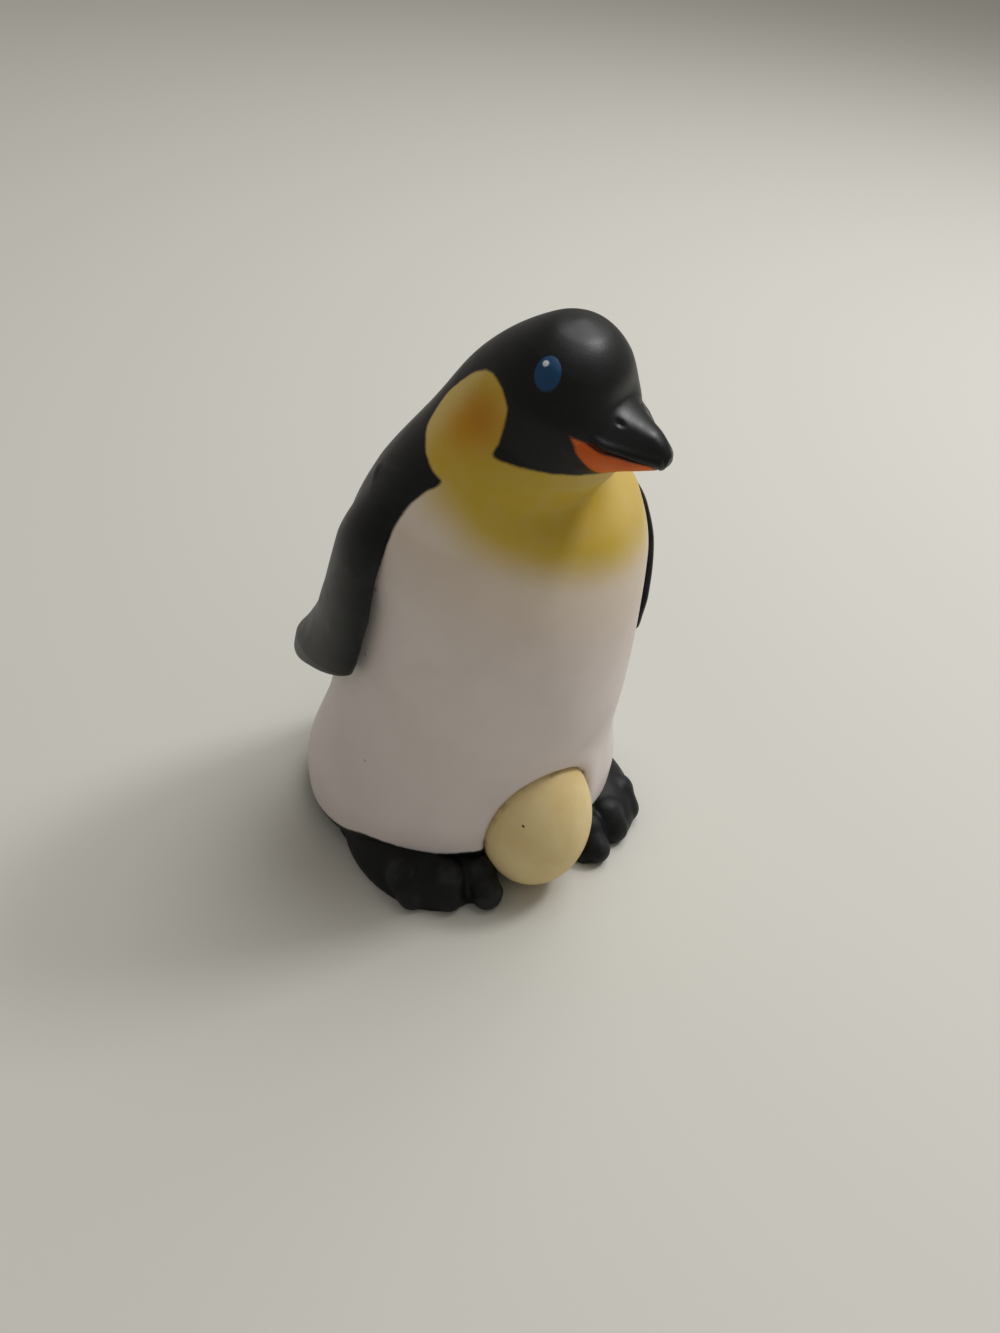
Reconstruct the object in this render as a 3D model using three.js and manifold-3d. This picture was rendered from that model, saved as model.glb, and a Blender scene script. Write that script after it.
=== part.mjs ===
// A toy penguin that carries an egg on its feet: a hollow soft-vinyl body with its bill, eyes,
// flippers, feet, egg and base plug set into it. Millimetres, +Z up, and the figure faces -Y.
// "Forward" is the distance towards the front, so it is -Y, and the figure's left is +X.
import * as THREE from "three";
import { mergeVertices } from "three/addons/utils/BufferGeometryUtils.js";
import Module from "manifold-3d";

const wasm = await Module();
wasm.setup();

// Body: rings from the floor to the crown. Each ring runs between a front point and a back point
// and has a half width. The trunk's heights are above the ground and the head's are below the crown.
const TRUNK_FRONT_FORWARD = [16.5, 24.4, 25.9, 26.2, 27.8, 27.5, 26.2, 23.3];
const TRUNK_FRONT_HEIGHT = [3.6, 5.6, 11.5, 22.5, 32.5, 43.0, 53.0, 61.2];
const TRUNK_BACK_FORWARD = [-16.5, -26.4, -27.8, -24.0, -21.6, -19.8, -16.3, -11.3];
const TRUNK_BACK_HEIGHT = [3.6, 0.3, 5.8, 20.0, 34.0, 46.5, 58.0, 68.0];
const TRUNK_HALF_WIDTH = [17.0, 27.0, 27.3, 24.1, 23.2, 23.8, 23.9, 21.2];
const HEAD_FRONT_FORWARD = [19.0, 21.5, 23.5, 21.3, 18.2];
const HEAD_FRONT_DROP = [24.9, 20.8, 13.9, 6.3, 2.1];
const HEAD_BACK_FORWARD = [-6.0, -1.8, 2.9, 7.6, 10.6];
const HEAD_BACK_DROP = [15.8, 9.1, 4.5, 1.4, 0.1];
const HEAD_HALF_WIDTH = [15.9, 12.4, 11.6, 8.8, 5.0];
const CROWN_FORWARD = 14.4;
const CROWN_HEIGHT = 92.1;
const WALL = 2.2;

// Gap between touching pieces, and how far a cutter runs past the wall that it cuts.
const CLEARANCE = 0.3;
const CUT_PAST = 1.0;

// Head: turned to the figure's left about an upright axis, with the twist spread over the neck.
const HEAD_TURN = 25.0;
const HEAD_AXIS_FORWARD = 4.0;
const TWIST_FROM_STATION = 6.6;
const TWIST_TO_STATION = 9.2;

// Tail: a short flat wedge on the back of the body, as rings between its top and its underside,
// given from the back of the body at one station.
const TAIL_STATION = 1.5;
const TAIL_FORWARD = [3.0, -1.5, -4.8];
const TAIL_TOP_HEIGHT = [4.0, 2.0, 0.2];
const TAIL_UNDER_HEIGHT = [-0.6, -1.2, -1.6];
const TAIL_HALF_WIDTH = [8.0, 6.6, 4.0];
const TAIL_TIP = [-6.0, -1.0];

// Base plug: closes the floor of the body behind the feet.
const PLUG_BACK = 6.5;
const PLUG_HOLE_RADIUS = 7.0;
const PLUG_FLANGE_OVERHANG = 2.0;
const PLUG_FLANGE_THICKNESS = 1.2;
const PLUG_STEM_RISE = 1.2;
const VENT_RADIUS = 1.0;

// Bill: rings between the jaw and the ridge above it, given from the front of the face at one
// body station. The mouth line parts it into an upper and a lower bill.
const BILL_STATION = 10.0;
const BILL_JAW_FORWARD = [-6.5, -2.4, 0.5, 3.2, 5.6];
const BILL_JAW_HEIGHT = [-6.5, -5.8, -4.9, -4.1, -3.2];
const BILL_RIDGE_FORWARD = [-4.5, -0.4, 1.8, 4.0, 6.1];
const BILL_RIDGE_HEIGHT = [8.0, 4.6, 2.9, 1.5, -0.3];
const BILL_HALF_WIDTH = [10.0, 7.8, 5.2, 3.5, 1.9];
const BILL_TIP = [6.7, -1.9];
const MOUTH_FORWARD = [-6.0, -3.5, -1.2, 1.8, 4.2, 5.0];
const MOUTH_HEIGHT = [4.6, 2.5, -0.5, -1.8, -2.6, -5.0];
const UPPER_TENON_RADIUS = 2.0;
const UPPER_TENON_HEIGHT = 1.2;
const LOWER_TENON_RADIUS = 0.8;
const LOWER_TENON_HEIGHT = -3.7;
const TENON_ROOT = 1.2;
const TENON_REACH = 2.4;

// Eyes: oval beads sunk into the sides of the head.
const EYE_STATION = 10.85;
const EYE_ANGLE = 88.0;
const EYE_HALF_WIDTH = 1.8;
const EYE_HALF_HEIGHT = 2.4;
const EYE_HALF_DEPTH = 0.8;
const EYE_PROUD = 0.35;

// Flippers: sections from the shoulder to the tip. The front and the rear edge of a section each
// lie at a body station, an angle round the body and a lift off it, and a section has a half
// thickness. The left flipper is swung round the body from where the right one lies, back at its
// shoulder and forward at its tip.
const FLIPPER_FRONT_STATION = [7.75, 7.4, 6.9, 6.3, 5.6, 5.05, 4.65, 4.35, 4.2, 4.1];
const FLIPPER_FRONT_ANGLE = [84, 84, 82, 78, 77, 79, 82, 86, 90, 97];
const FLIPPER_FRONT_LIFT = [0.0, 0.1, 0.3, 1.0, 2.0, 2.4, 2.4, 2.2, 2.2, 2.8];
const FLIPPER_REAR_STATION = [7.65, 7.2, 6.6, 5.9, 5.2, 4.65, 4.2, 3.85, 3.6, 3.55];
const FLIPPER_REAR_ANGLE = [94, 110, 119, 122, 122, 125, 127, 128, 125, 118];
const FLIPPER_REAR_LIFT = [0.0, -0.4, -0.6, -0.4, 0.3, 1.6, 4.2, 6.4, 6.8, 6.2];
const FLIPPER_HALF_THICKNESS = [0.7, 1.4, 1.9, 2.1, 2.1, 2.0, 2.0, 1.9, 1.5, 1.0];
const LEFT_SHOULDER_SWING = -15.0;
const LEFT_TIP_SWING = 25.0;
const SHOULDER_PEG_STATION = 6.9;
const SHOULDER_PEG_ANGLE = 106.0;
const SHOULDER_PEG_RADIUS = 2.0;
const SHOULDER_PEG_ROOT = 0.3;
const SHOULDER_PEG_REACH = 1.5;

// Feet: a broad instep under the rim and three toes, placed by their knuckles and tips as
// [sideways, forward, height]. The soles are cut level with the ground.
const INSTEP_CENTRE = [16.0, 10.5, 1.5];
const INSTEP_HALF_SIZES = [11.2, 15.6, 7.5];
const OUTER_KNUCKLE = [21.2, 18.9, 3.0];
const OUTER_TIP = [22.5, 21.2, 2.0];
const MIDDLE_KNUCKLE = [16.0, 22.3, 3.2];
const MIDDLE_TIP = [17.0, 25.0, 2.0];
const INNER_KNUCKLE = [11.0, 24.4, 3.0];
const INNER_TIP = [11.0, 27.8, 2.0];
const TOE_RADIUS = 3.0;
const KNUCKLE_RADIUS = 3.2;
const TOE_TIP_RADIUS = 2.5;
const FOOT_POST_RADIUS = 3.0;
const FOOT_POST_ROOT = 0.3;
const FOOT_POST_RISE = 6.4;
const FOOT_POST_PLACE = [16.5, 9.0];

// Egg: leans to the figure's left and back into a pouch in the belly.
const EGG_HALF_LENGTH = 11.9;
const EGG_RADIUS = 9.3;
const EGG_TAPER = 0.12;
const EGG_SINK = 1.9;
const EGG_STATION = 2.0;
const EGG_STAND = 0.4;
const EGG_TILT_LEFT = 22.0;
const EGG_TILT_BACK = 12.0;
const EGG_PEG_RADIUS = 2.0;
const EGG_PEG_REACH = 1.5;

// Facets: how finely the curved surfaces are divided.
const BODY_RINGS = 32;
const BODY_SIDES = 36;
const CAVITY_RINGS = 20;
const CAVITY_SIDES = 24;
const BILL_RINGS = 12;
const BILL_SIDES = 20;
const TAIL_RINGS = 6;
const TAIL_SIDES = 16;
const FLIPPER_RINGS = 16;
const FLIPPER_SIDES = 16;
const EGG_RINGS = 16;
const EGG_SIDES = 16;
const PLUG_SIDES = 32;
const BAR_SIDES = 16;
const BALL_SIDES = 12;
const BALL_RINGS = 7;

// Steps for measuring a surface's slope, the gap left at a closed end, and the distance within
// which two corners are one.
const STATION_STEP = 0.02;
const ANGLE_STEP = 1.0;
const END_GAP = 0.02;
const WELD_DISTANCE = 1e-4;

const UP = new THREE.Vector3(0, 0, 1);
const BAR_AXIS = new THREE.Vector3(0, 1, 0);

// Finishes
const whiteVinyl = { color: 0xd8cfca, roughness: 0.55, metalness: 0.0 };
const blackVinyl = { color: 0x191a1c, roughness: 0.45, metalness: 0.0 };
const orangePaint = { color: 0xd5602a, roughness: 0.5, metalness: 0.0 };
const bluePaint = { color: 0x1d3d63, roughness: 0.35, metalness: 0.0 };
const creamPaint = { color: 0xdcc894, roughness: 0.55, metalness: 0.0 };

// Solids: closed geometries joined and cut

function solidOf(geometry) {
  const bare = geometry.clone();
  bare.deleteAttribute("normal");
  bare.deleteAttribute("uv");
  const merged = mergeVertices(bare, WELD_DISTANCE);
  const vertProperties = new Float32Array(merged.attributes.position.array);
  const triVerts = new Uint32Array(merged.index.array);
  return new wasm.Manifold(new wasm.Mesh({ numProp: 3, vertProperties, triVerts }));
}

function meshOf(name, solid, finish) {
  const { vertProperties, triVerts } = solid.getMesh();
  const geometry = new THREE.BufferGeometry();
  geometry.setAttribute("position", new THREE.BufferAttribute(vertProperties, 3));
  geometry.setIndex(new THREE.BufferAttribute(triVerts, 1));
  geometry.computeVertexNormals();
  const mesh = new THREE.Mesh(geometry, new THREE.MeshStandardMaterial(finish));
  mesh.name = name;
  return mesh;
}

function place(sideways, forward, height) {
  return new THREE.Vector3(sideways, -forward, height);
}

// A round bar from one point to another.
function bar(from, to, radius) {
  const along = to.clone().sub(from);
  const geometry = new THREE.CylinderGeometry(radius, radius, along.length(), BAR_SIDES);
  const turn = new THREE.Quaternion().setFromUnitVectors(BAR_AXIS, along.normalize());
  geometry.applyQuaternion(turn);
  const middle = from.clone().add(to).multiplyScalar(0.5);
  return solidOf(geometry.translate(middle.x, middle.y, middle.z));
}

// An ellipsoid whose half sizes lie along the axes of a matrix.
function ball(halfSizes, matrix) {
  const geometry = new THREE.SphereGeometry(1, BALL_SIDES, BALL_RINGS);
  geometry.scale(...halfSizes);
  return solidOf(geometry.applyMatrix4(matrix));
}

function roundBall(centre, radius) {
  return ball([radius, radius, radius], new THREE.Matrix4().setPosition(centre));
}

// A closed skin from a grid of rings, each a list of points that goes round anticlockwise as
// seen from the last ring. Both ends are closed by a fan about the ring's middle.
function skinOf(rings, matrix = new THREE.Matrix4()) {
  const sides = rings[0].length;
  const positions = rings.flat().flatMap((point) => point.toArray());
  const faces = [];
  for (let ring = 0; ring + 1 < rings.length; ring += 1) {
    for (let side = 0; side < sides; side += 1) {
      const next = (side + 1) % sides;
      const low = ring * sides;
      const high = low + sides;
      faces.push(low + side, low + next, high + next);
      faces.push(low + side, high + next, high + side);
    }
  }
  const addCap = (ring, facesDown) => {
    const middle = rings[ring].reduce((sum, point) => sum.add(point), new THREE.Vector3());
    const hub = positions.length / 3;
    positions.push(...middle.divideScalar(sides).toArray());
    for (let side = 0; side < sides; side += 1) {
      const here = ring * sides + side;
      const next = ring * sides + ((side + 1) % sides);
      faces.push(hub, ...(facesDown ? [next, here] : [here, next]));
    }
  };
  addCap(0, true);
  addCap(rings.length - 1, false);
  const geometry = new THREE.BufferGeometry();
  geometry.setAttribute("position", new THREE.Float32BufferAttribute(positions, 3));
  geometry.setIndex(faces);
  return solidOf(geometry.applyMatrix4(matrix));
}

// Points [forward, height] from a column of each.
function pointsOf(forwards, heights) {
  return forwards.map((forward, index) => [forward, heights[index]]);
}

// A surface of rings between a front rail and a back rail, which close in one tip. An angle of 0
// is on the front rail and 90 degrees is on the figure's left.
class RailSurface {
  constructor(front, back, halfWidths, tip, origin = [0, 0]) {
    const rail = (points) =>
      new THREE.CatmullRomCurve3(
        [...points, tip].map(([forward, height]) => place(0, origin[0] + forward, origin[1] + height)),
      );
    this.last = halfWidths.length;
    this.front = rail(front);
    this.back = rail(back);
    this.half = new THREE.CatmullRomCurve3([...halfWidths, 0].map((half) => new THREE.Vector3(half, 0, 0)));
  }

  point(station, degrees) {
    const t = station / this.last;
    const angle = THREE.MathUtils.degToRad(degrees);
    const front = this.front.getPoint(t);
    const back = this.back.getPoint(t);
    const point = front.clone().add(back).multiplyScalar(0.5);
    point.addScaledVector(front.sub(back), Math.cos(angle) / 2);
    point.x += this.half.getPoint(t).x * Math.sin(angle);
    return point;
  }

  normal(station, degrees) {
    const inside = THREE.MathUtils.clamp(station, STATION_STEP, this.last - STATION_STEP);
    const above = this.point(inside + STATION_STEP, degrees);
    const along = above.sub(this.point(inside - STATION_STEP, degrees));
    const ahead = this.point(inside, degrees + ANGLE_STEP);
    const round = ahead.sub(this.point(inside, degrees - ANGLE_STEP));
    return round.cross(along).normalize();
  }

  offsetPoint(station, degrees, offset) {
    return this.point(station, degrees).addScaledVector(this.normal(station, degrees), offset);
  }

  skin(offset, ringCount, sides, matrix) {
    const rings = [];
    for (let ring = 0; ring <= ringCount; ring += 1) {
      const station = Math.min((ring / ringCount) * this.last, this.last - END_GAP);
      const points = [];
      for (let side = 0; side < sides; side += 1) {
        points.push(this.offsetPoint(station, (360 * side) / sides, offset));
      }
      rings.push(points);
    }
    return skinOf(rings, matrix);
  }
}

// The body's surface, with the head turned and the twist spread over the neck.
class TwistedBody extends RailSurface {
  point(station, degrees) {
    const straight = super.point(station, degrees);
    const share = THREE.MathUtils.smoothstep(station, TWIST_FROM_STATION, TWIST_TO_STATION);
    return straight.applyMatrix4(turnOfHead(HEAD_TURN * share));
  }
}

function turnOfHead(degrees) {
  const axis = place(0, HEAD_AXIS_FORWARD, 0);
  const turn = new THREE.Matrix4().makeRotationZ(THREE.MathUtils.degToRad(degrees));
  return new THREE.Matrix4()
    .makeTranslation(axis)
    .multiply(turn)
    .multiply(new THREE.Matrix4().makeTranslation(axis.clone().negate()));
}

function belowCrown(drops) {
  return drops.map((drop) => CROWN_HEIGHT - drop);
}

const body = new TwistedBody(
  [
    ...pointsOf(TRUNK_FRONT_FORWARD, TRUNK_FRONT_HEIGHT),
    ...pointsOf(HEAD_FRONT_FORWARD, belowCrown(HEAD_FRONT_DROP)),
  ],
  [
    ...pointsOf(TRUNK_BACK_FORWARD, TRUNK_BACK_HEIGHT),
    ...pointsOf(HEAD_BACK_FORWARD, belowCrown(HEAD_BACK_DROP)),
  ],
  [...TRUNK_HALF_WIDTH, ...HEAD_HALF_WIDTH],
  [CROWN_FORWARD, CROWN_HEIGHT],
);
const outside = body.skin(0, BODY_RINGS, BODY_SIDES);
const keepOff = body.skin(CLEARANCE, BODY_RINGS, BODY_SIDES);
const headMatrix = turnOfHead(HEAD_TURN);
const floorHeight = TRUNK_FRONT_HEIGHT[0];

// Egg

function eggMatrix() {
  const turn = new THREE.Euler(
    THREE.MathUtils.degToRad(-EGG_TILT_BACK),
    THREE.MathUtils.degToRad(EGG_TILT_LEFT),
    0,
  );
  return new THREE.Matrix4().makeRotationFromEuler(turn);
}

function eggSkin(grow) {
  const profile = [];
  for (let ring = 0; ring <= EGG_RINGS; ring += 1) {
    const angle = Math.PI * (1 - ring / EGG_RINGS);
    const radius = (EGG_RADIUS + grow) * Math.sin(angle) * (1 - EGG_TAPER * Math.cos(angle));
    profile.push(new THREE.Vector2(Math.max(radius, 0), (EGG_HALF_LENGTH + grow) * Math.cos(angle)));
  }
  const geometry = new THREE.LatheGeometry(profile, EGG_SIDES);
  geometry.rotateX(Math.PI / 2);
  geometry.applyMatrix4(eggMatrix());
  return geometry;
}

const eggBox = new THREE.Box3().setFromBufferAttribute(eggSkin(0).getAttribute("position"));
const eggCentre = place(
  0,
  -body.point(EGG_STATION, 0).y - EGG_SINK,
  EGG_STAND - eggBox.min.z,
);

function eggSolid(grow) {
  return solidOf(eggSkin(grow).translate(...eggCentre.toArray()));
}

const eggPegLength = eggBox.max.y + CLEARANCE + WALL + EGG_PEG_REACH;
const eggPegEnd = eggCentre.clone().add(place(0, -eggPegLength, 0));
const eggPouch = eggSolid(CLEARANCE);

// Shoulder pegs, foot posts, bill tenons and eyes: what fits into holes in the body

function shoulderPeg(side, radius) {
  const angle = side * SHOULDER_PEG_ANGLE;
  const outer = body.offsetPoint(SHOULDER_PEG_STATION, angle, CLEARANCE + SHOULDER_PEG_ROOT);
  const inner = body.offsetPoint(SHOULDER_PEG_STATION, angle, -WALL - SHOULDER_PEG_REACH);
  return bar(outer, inner, radius);
}

function footPost(side, radius) {
  const [across, forward] = FOOT_POST_PLACE;
  const low = place(side * across, forward, floorHeight - CLEARANCE - FOOT_POST_ROOT);
  const high = place(side * across, forward, floorHeight + FOOT_POST_RISE);
  return bar(low, high, radius);
}

const faceFront = body.front.getPoint(BILL_STATION / body.last);

function billTenon(height, radius) {
  const forward = -faceFront.y;
  const front = place(0, forward + TENON_ROOT, faceFront.z + height);
  const rear = place(0, forward - WALL - TENON_REACH, faceFront.z + height);
  return bar(front.applyMatrix4(headMatrix), rear.applyMatrix4(headMatrix), radius);
}

function eyeSolid(side, grow) {
  const angle = side * EYE_ANGLE;
  const outward = body.normal(EYE_STATION, angle);
  const upward = UP.clone().addScaledVector(outward, -UP.dot(outward)).normalize();
  const across = outward.clone().cross(upward);
  const centre = body.offsetPoint(EYE_STATION, angle, EYE_PROUD - EYE_HALF_DEPTH);
  const matrix = new THREE.Matrix4().makeBasis(across, outward, upward).setPosition(centre);
  return ball([EYE_HALF_WIDTH + grow, EYE_HALF_DEPTH + grow, EYE_HALF_HEIGHT + grow], matrix);
}

// Body shell

function tail() {
  const root = body.point(TAIL_STATION, 180);
  const top = pointsOf(TAIL_FORWARD, TAIL_TOP_HEIGHT);
  const underside = pointsOf(TAIL_FORWARD, TAIL_UNDER_HEIGHT);
  const wedge = new RailSurface(top, underside, TAIL_HALF_WIDTH, TAIL_TIP, [-root.y, root.z]);
  return wedge.skin(0, TAIL_RINGS, TAIL_SIDES);
}

function bodyShell() {
  const cavity = body.skin(-WALL, CAVITY_RINGS, CAVITY_SIDES).subtract(eggSolid(CLEARANCE + WALL));
  const plugHole = bar(
    place(0, -PLUG_BACK, floorHeight - CUT_PAST),
    place(0, -PLUG_BACK, floorHeight + WALL + CUT_PAST),
    PLUG_HOLE_RADIUS,
  );
  let shell = outside.add(tail()).subtract(cavity).subtract(eggPouch).subtract(plugHole);
  shell = shell.subtract(bar(eggCentre, eggPegEnd, EGG_PEG_RADIUS + CLEARANCE));
  shell = shell.subtract(billTenon(UPPER_TENON_HEIGHT, UPPER_TENON_RADIUS + CLEARANCE));
  shell = shell.subtract(billTenon(LOWER_TENON_HEIGHT, LOWER_TENON_RADIUS + CLEARANCE));
  for (const side of [-1, 1]) {
    shell = shell.subtract(eyeSolid(side, CLEARANCE));
    shell = shell.subtract(shoulderPeg(side, SHOULDER_PEG_RADIUS + CLEARANCE));
    shell = shell.subtract(footPost(side, FOOT_POST_RADIUS + CLEARANCE));
  }
  return shell;
}

// Base plug

function basePlug() {
  const stemRadius = PLUG_HOLE_RADIUS - CLEARANCE;
  const flangeRadius = PLUG_HOLE_RADIUS + PLUG_FLANGE_OVERHANG;
  const seat = floorHeight - CLEARANCE;
  const under = seat - PLUG_FLANGE_THICKNESS;
  const top = floorHeight + WALL + PLUG_STEM_RISE;
  const profile = [
    new THREE.Vector2(VENT_RADIUS, under),
    new THREE.Vector2(flangeRadius, under),
    new THREE.Vector2(flangeRadius, seat),
    new THREE.Vector2(stemRadius, seat),
    new THREE.Vector2(stemRadius, top),
    new THREE.Vector2(VENT_RADIUS, top),
    new THREE.Vector2(VENT_RADIUS, under),
  ];
  const geometry = new THREE.LatheGeometry(profile, PLUG_SIDES).rotateX(Math.PI / 2);
  return solidOf(geometry.translate(0, PLUG_BACK, 0));
}

// Bill

function billPieces() {
  const origin = [-faceFront.y, faceFront.z];
  const jaw = pointsOf(BILL_JAW_FORWARD, BILL_JAW_HEIGHT);
  const ridge = pointsOf(BILL_RIDGE_FORWARD, BILL_RIDGE_HEIGHT);
  const whole = new RailSurface(jaw, ridge, BILL_HALF_WIDTH, BILL_TIP, origin)
    .skin(0, BILL_RINGS, BILL_SIDES, headMatrix)
    .subtract(keepOff);
  const belowMouth = (drop) => {
    const mouth = pointsOf(MOUTH_FORWARD, MOUTH_HEIGHT);
    const line = mouth.map(([forward, height]) => new THREE.Vector2(forward, height - drop));
    const under = BILL_JAW_HEIGHT[0] - CUT_PAST;
    const behind = BILL_JAW_FORWARD[0] - CUT_PAST;
    line.push(new THREE.Vector2(line.at(-1).x, under));
    line.push(new THREE.Vector2(behind, under));
    line.push(new THREE.Vector2(behind, line[0].y));
    const depth = 2 * (BILL_HALF_WIDTH[0] + CUT_PAST);
    const geometry = new THREE.ExtrudeGeometry(new THREE.Shape(line), { depth, bevelEnabled: false });
    geometry.rotateX(Math.PI / 2).rotateZ(-Math.PI / 2);
    geometry.translate(depth / 2, -origin[0], origin[1]);
    return solidOf(geometry.applyMatrix4(headMatrix));
  };
  const upper = whole.subtract(belowMouth(0));
  const lower = whole.intersect(belowMouth(CLEARANCE));
  return {
    upper: upper.add(billTenon(UPPER_TENON_HEIGHT, UPPER_TENON_RADIUS)),
    lower: lower.add(billTenon(LOWER_TENON_HEIGHT, LOWER_TENON_RADIUS)),
  };
}

// Flippers

// The value a share of the way along a column.
function valueAt(column, share) {
  const step = share * (column.length - 1);
  const index = Math.min(Math.floor(step), column.length - 2);
  return THREE.MathUtils.lerp(column[index], column[index + 1], step - index);
}

function flipper(side) {
  const rings = [];
  for (let ring = 0; ring <= FLIPPER_RINGS; ring += 1) {
    const share = 1 - ring / FLIPPER_RINGS;
    const front = [FLIPPER_FRONT_STATION, FLIPPER_FRONT_ANGLE, FLIPPER_FRONT_LIFT];
    const rear = [FLIPPER_REAR_STATION, FLIPPER_REAR_ANGLE, FLIPPER_REAR_LIFT];
    const half = valueAt(FLIPPER_HALF_THICKNESS, share);
    const swing = side > 0 ? THREE.MathUtils.lerp(LEFT_SHOULDER_SWING, LEFT_TIP_SWING, share) : 0;
    const points = [];
    for (let step = 0; step < FLIPPER_SIDES; step += 1) {
      const angle = (2 * Math.PI * step) / FLIPPER_SIDES;
      const towardsRear = (1 - Math.cos(angle)) / 2;
      const [station, degrees, lift] = front.map((column, item) =>
        THREE.MathUtils.lerp(valueAt(column, share), valueAt(rear[item], share), towardsRear),
      );
      const offset = lift + half * Math.sin(angle);
      points.push(body.offsetPoint(station, side * (degrees - swing), offset));
    }
    rings.push(side > 0 ? points : points.reverse());
  }
  const paddle = skinOf(rings).subtract(keepOff);
  return paddle.add(shoulderPeg(side, SHOULDER_PEG_RADIUS));
}

// Feet

function foot(side) {
  const mirrored = ([sideways, forward, height]) => place(side * sideways, forward, height);
  const instepMatrix = new THREE.Matrix4().setPosition(mirrored(INSTEP_CENTRE));
  let solid = ball(INSTEP_HALF_SIZES, instepMatrix);
  const toes = [
    [OUTER_KNUCKLE, OUTER_TIP],
    [MIDDLE_KNUCKLE, MIDDLE_TIP],
    [INNER_KNUCKLE, INNER_TIP],
  ];
  for (const [knuckle, tip] of toes) {
    solid = solid.add(bar(mirrored(INSTEP_CENTRE), mirrored(tip), TOE_RADIUS));
    solid = solid.add(roundBall(mirrored(knuckle), KNUCKLE_RADIUS));
    solid = solid.add(roundBall(mirrored(tip), TOE_TIP_RADIUS));
  }
  const footBox = new THREE.Box3().setFromArray(solid.getMesh().vertProperties);
  const size = footBox.getSize(new THREE.Vector3()).addScalar(2 * CUT_PAST);
  const centre = footBox.getCenter(new THREE.Vector3());
  const block = new THREE.BoxGeometry(size.x, size.y, size.z);
  const ground = solidOf(block.translate(centre.x, centre.y, -size.z / 2));
  return solid
    .subtract(ground)
    .subtract(keepOff)
    .subtract(eggPouch)
    .add(footPost(side, FOOT_POST_RADIUS));
}

// The figure, with its origin under the middle of its box

const bill = billPieces();
const figure = new THREE.Group();
figure.add(
  meshOf("body_shell", bodyShell(), whiteVinyl),
  meshOf("base_plug", basePlug(), blackVinyl),
  meshOf("upper_bill", bill.upper, blackVinyl),
  meshOf("lower_bill", bill.lower, orangePaint),
  meshOf("egg", eggSolid(0).add(bar(eggCentre, eggPegEnd, EGG_PEG_RADIUS)), creamPaint),
);
for (const [name, side] of [["right", -1], ["left", 1]]) {
  figure.add(
    meshOf(`${name}_eye`, eyeSolid(side, 0), bluePaint),
    meshOf(`${name}_flipper`, flipper(side), blackVinyl),
    meshOf(`${name}_foot`, foot(side), blackVinyl),
  );
}
const box = new THREE.Box3().setFromObject(figure);
const middle = box.getCenter(new THREE.Vector3());
figure.position.set(-middle.x, -middle.y, -box.min.z);

export default figure;
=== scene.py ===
"""Looks of a toy penguin that carries an egg on its feet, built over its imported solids.

The shapes are worked out in millimetres, with +Z up and the figure facing -Y. "Forward" is the
distance towards the front, so it is -Y, and the figure's left is +X. A station is a place along a
row of rings, and an angle round a ring is 0 at the front and 90 degrees at the figure's left.
"""
import logging
import math
from abc import ABC, abstractmethod
from dataclasses import dataclass
from enum import Enum
from typing import Any, Sequence

import bmesh
import bpy
import numpy as np
from bpy.types import Material, Mesh, Node, NodeSocket, NodeTree, Object
from mathutils import Matrix, Vector
from mathutils.kdtree import KDTree


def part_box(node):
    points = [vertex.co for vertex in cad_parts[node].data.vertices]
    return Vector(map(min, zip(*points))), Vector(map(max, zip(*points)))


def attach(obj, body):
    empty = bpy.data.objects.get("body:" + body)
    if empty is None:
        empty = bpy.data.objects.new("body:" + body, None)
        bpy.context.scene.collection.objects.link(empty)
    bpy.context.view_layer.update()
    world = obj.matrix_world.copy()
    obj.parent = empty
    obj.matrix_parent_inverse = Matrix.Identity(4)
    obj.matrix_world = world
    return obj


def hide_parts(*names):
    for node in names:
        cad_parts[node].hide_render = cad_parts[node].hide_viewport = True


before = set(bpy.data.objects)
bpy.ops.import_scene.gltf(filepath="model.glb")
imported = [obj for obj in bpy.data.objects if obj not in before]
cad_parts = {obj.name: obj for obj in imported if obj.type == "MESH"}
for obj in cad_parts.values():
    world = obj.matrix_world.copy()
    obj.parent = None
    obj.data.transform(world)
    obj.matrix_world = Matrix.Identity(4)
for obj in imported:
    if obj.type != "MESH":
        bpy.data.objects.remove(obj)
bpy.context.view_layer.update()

LOG = logging.getLogger("penguin")
MM = 0.001
RELAX_STEP = 0.5
Colour = tuple[float, float, float, float]
Column = tuple[float, ...]
Array = np.ndarray


class Side(Enum):
    """The two sides of the figure, as the sign of their X."""

    RIGHT = -1
    LEFT = 1

    @property
    def word(self) -> str:
        """The side's name in lower case."""
        return self.name.lower()


# Numbers


def display(red: int, green: int, blue: int) -> Colour:
    """Linear colour of a display colour.

    Args:
        red: Red from 0 to 255.
        green: Green from 0 to 255.
        blue: Blue from 0 to 255.

    Returns:
        The linear colour with full alpha.
    """
    parts = [value / 255 for value in (red, green, blue)]
    linear = [p / 12.92 if p <= 0.04045 else ((p + 0.055) / 1.055) ** 2.4 for p in parts]
    return (*linear, 1.0)


BLACK = display(9, 11, 12)
ORANGE = display(210, 98, 26)


def smoothstep(low: Any, high: Any, value: Any) -> Array:
    """Smooth rise from 0 at a low value to 1 at a high one."""
    share = np.clip((np.asarray(value, float) - low) / (np.asarray(high, float) - low), 0.0, 1.0)
    return share * share * (3.0 - 2.0 * share)


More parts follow.
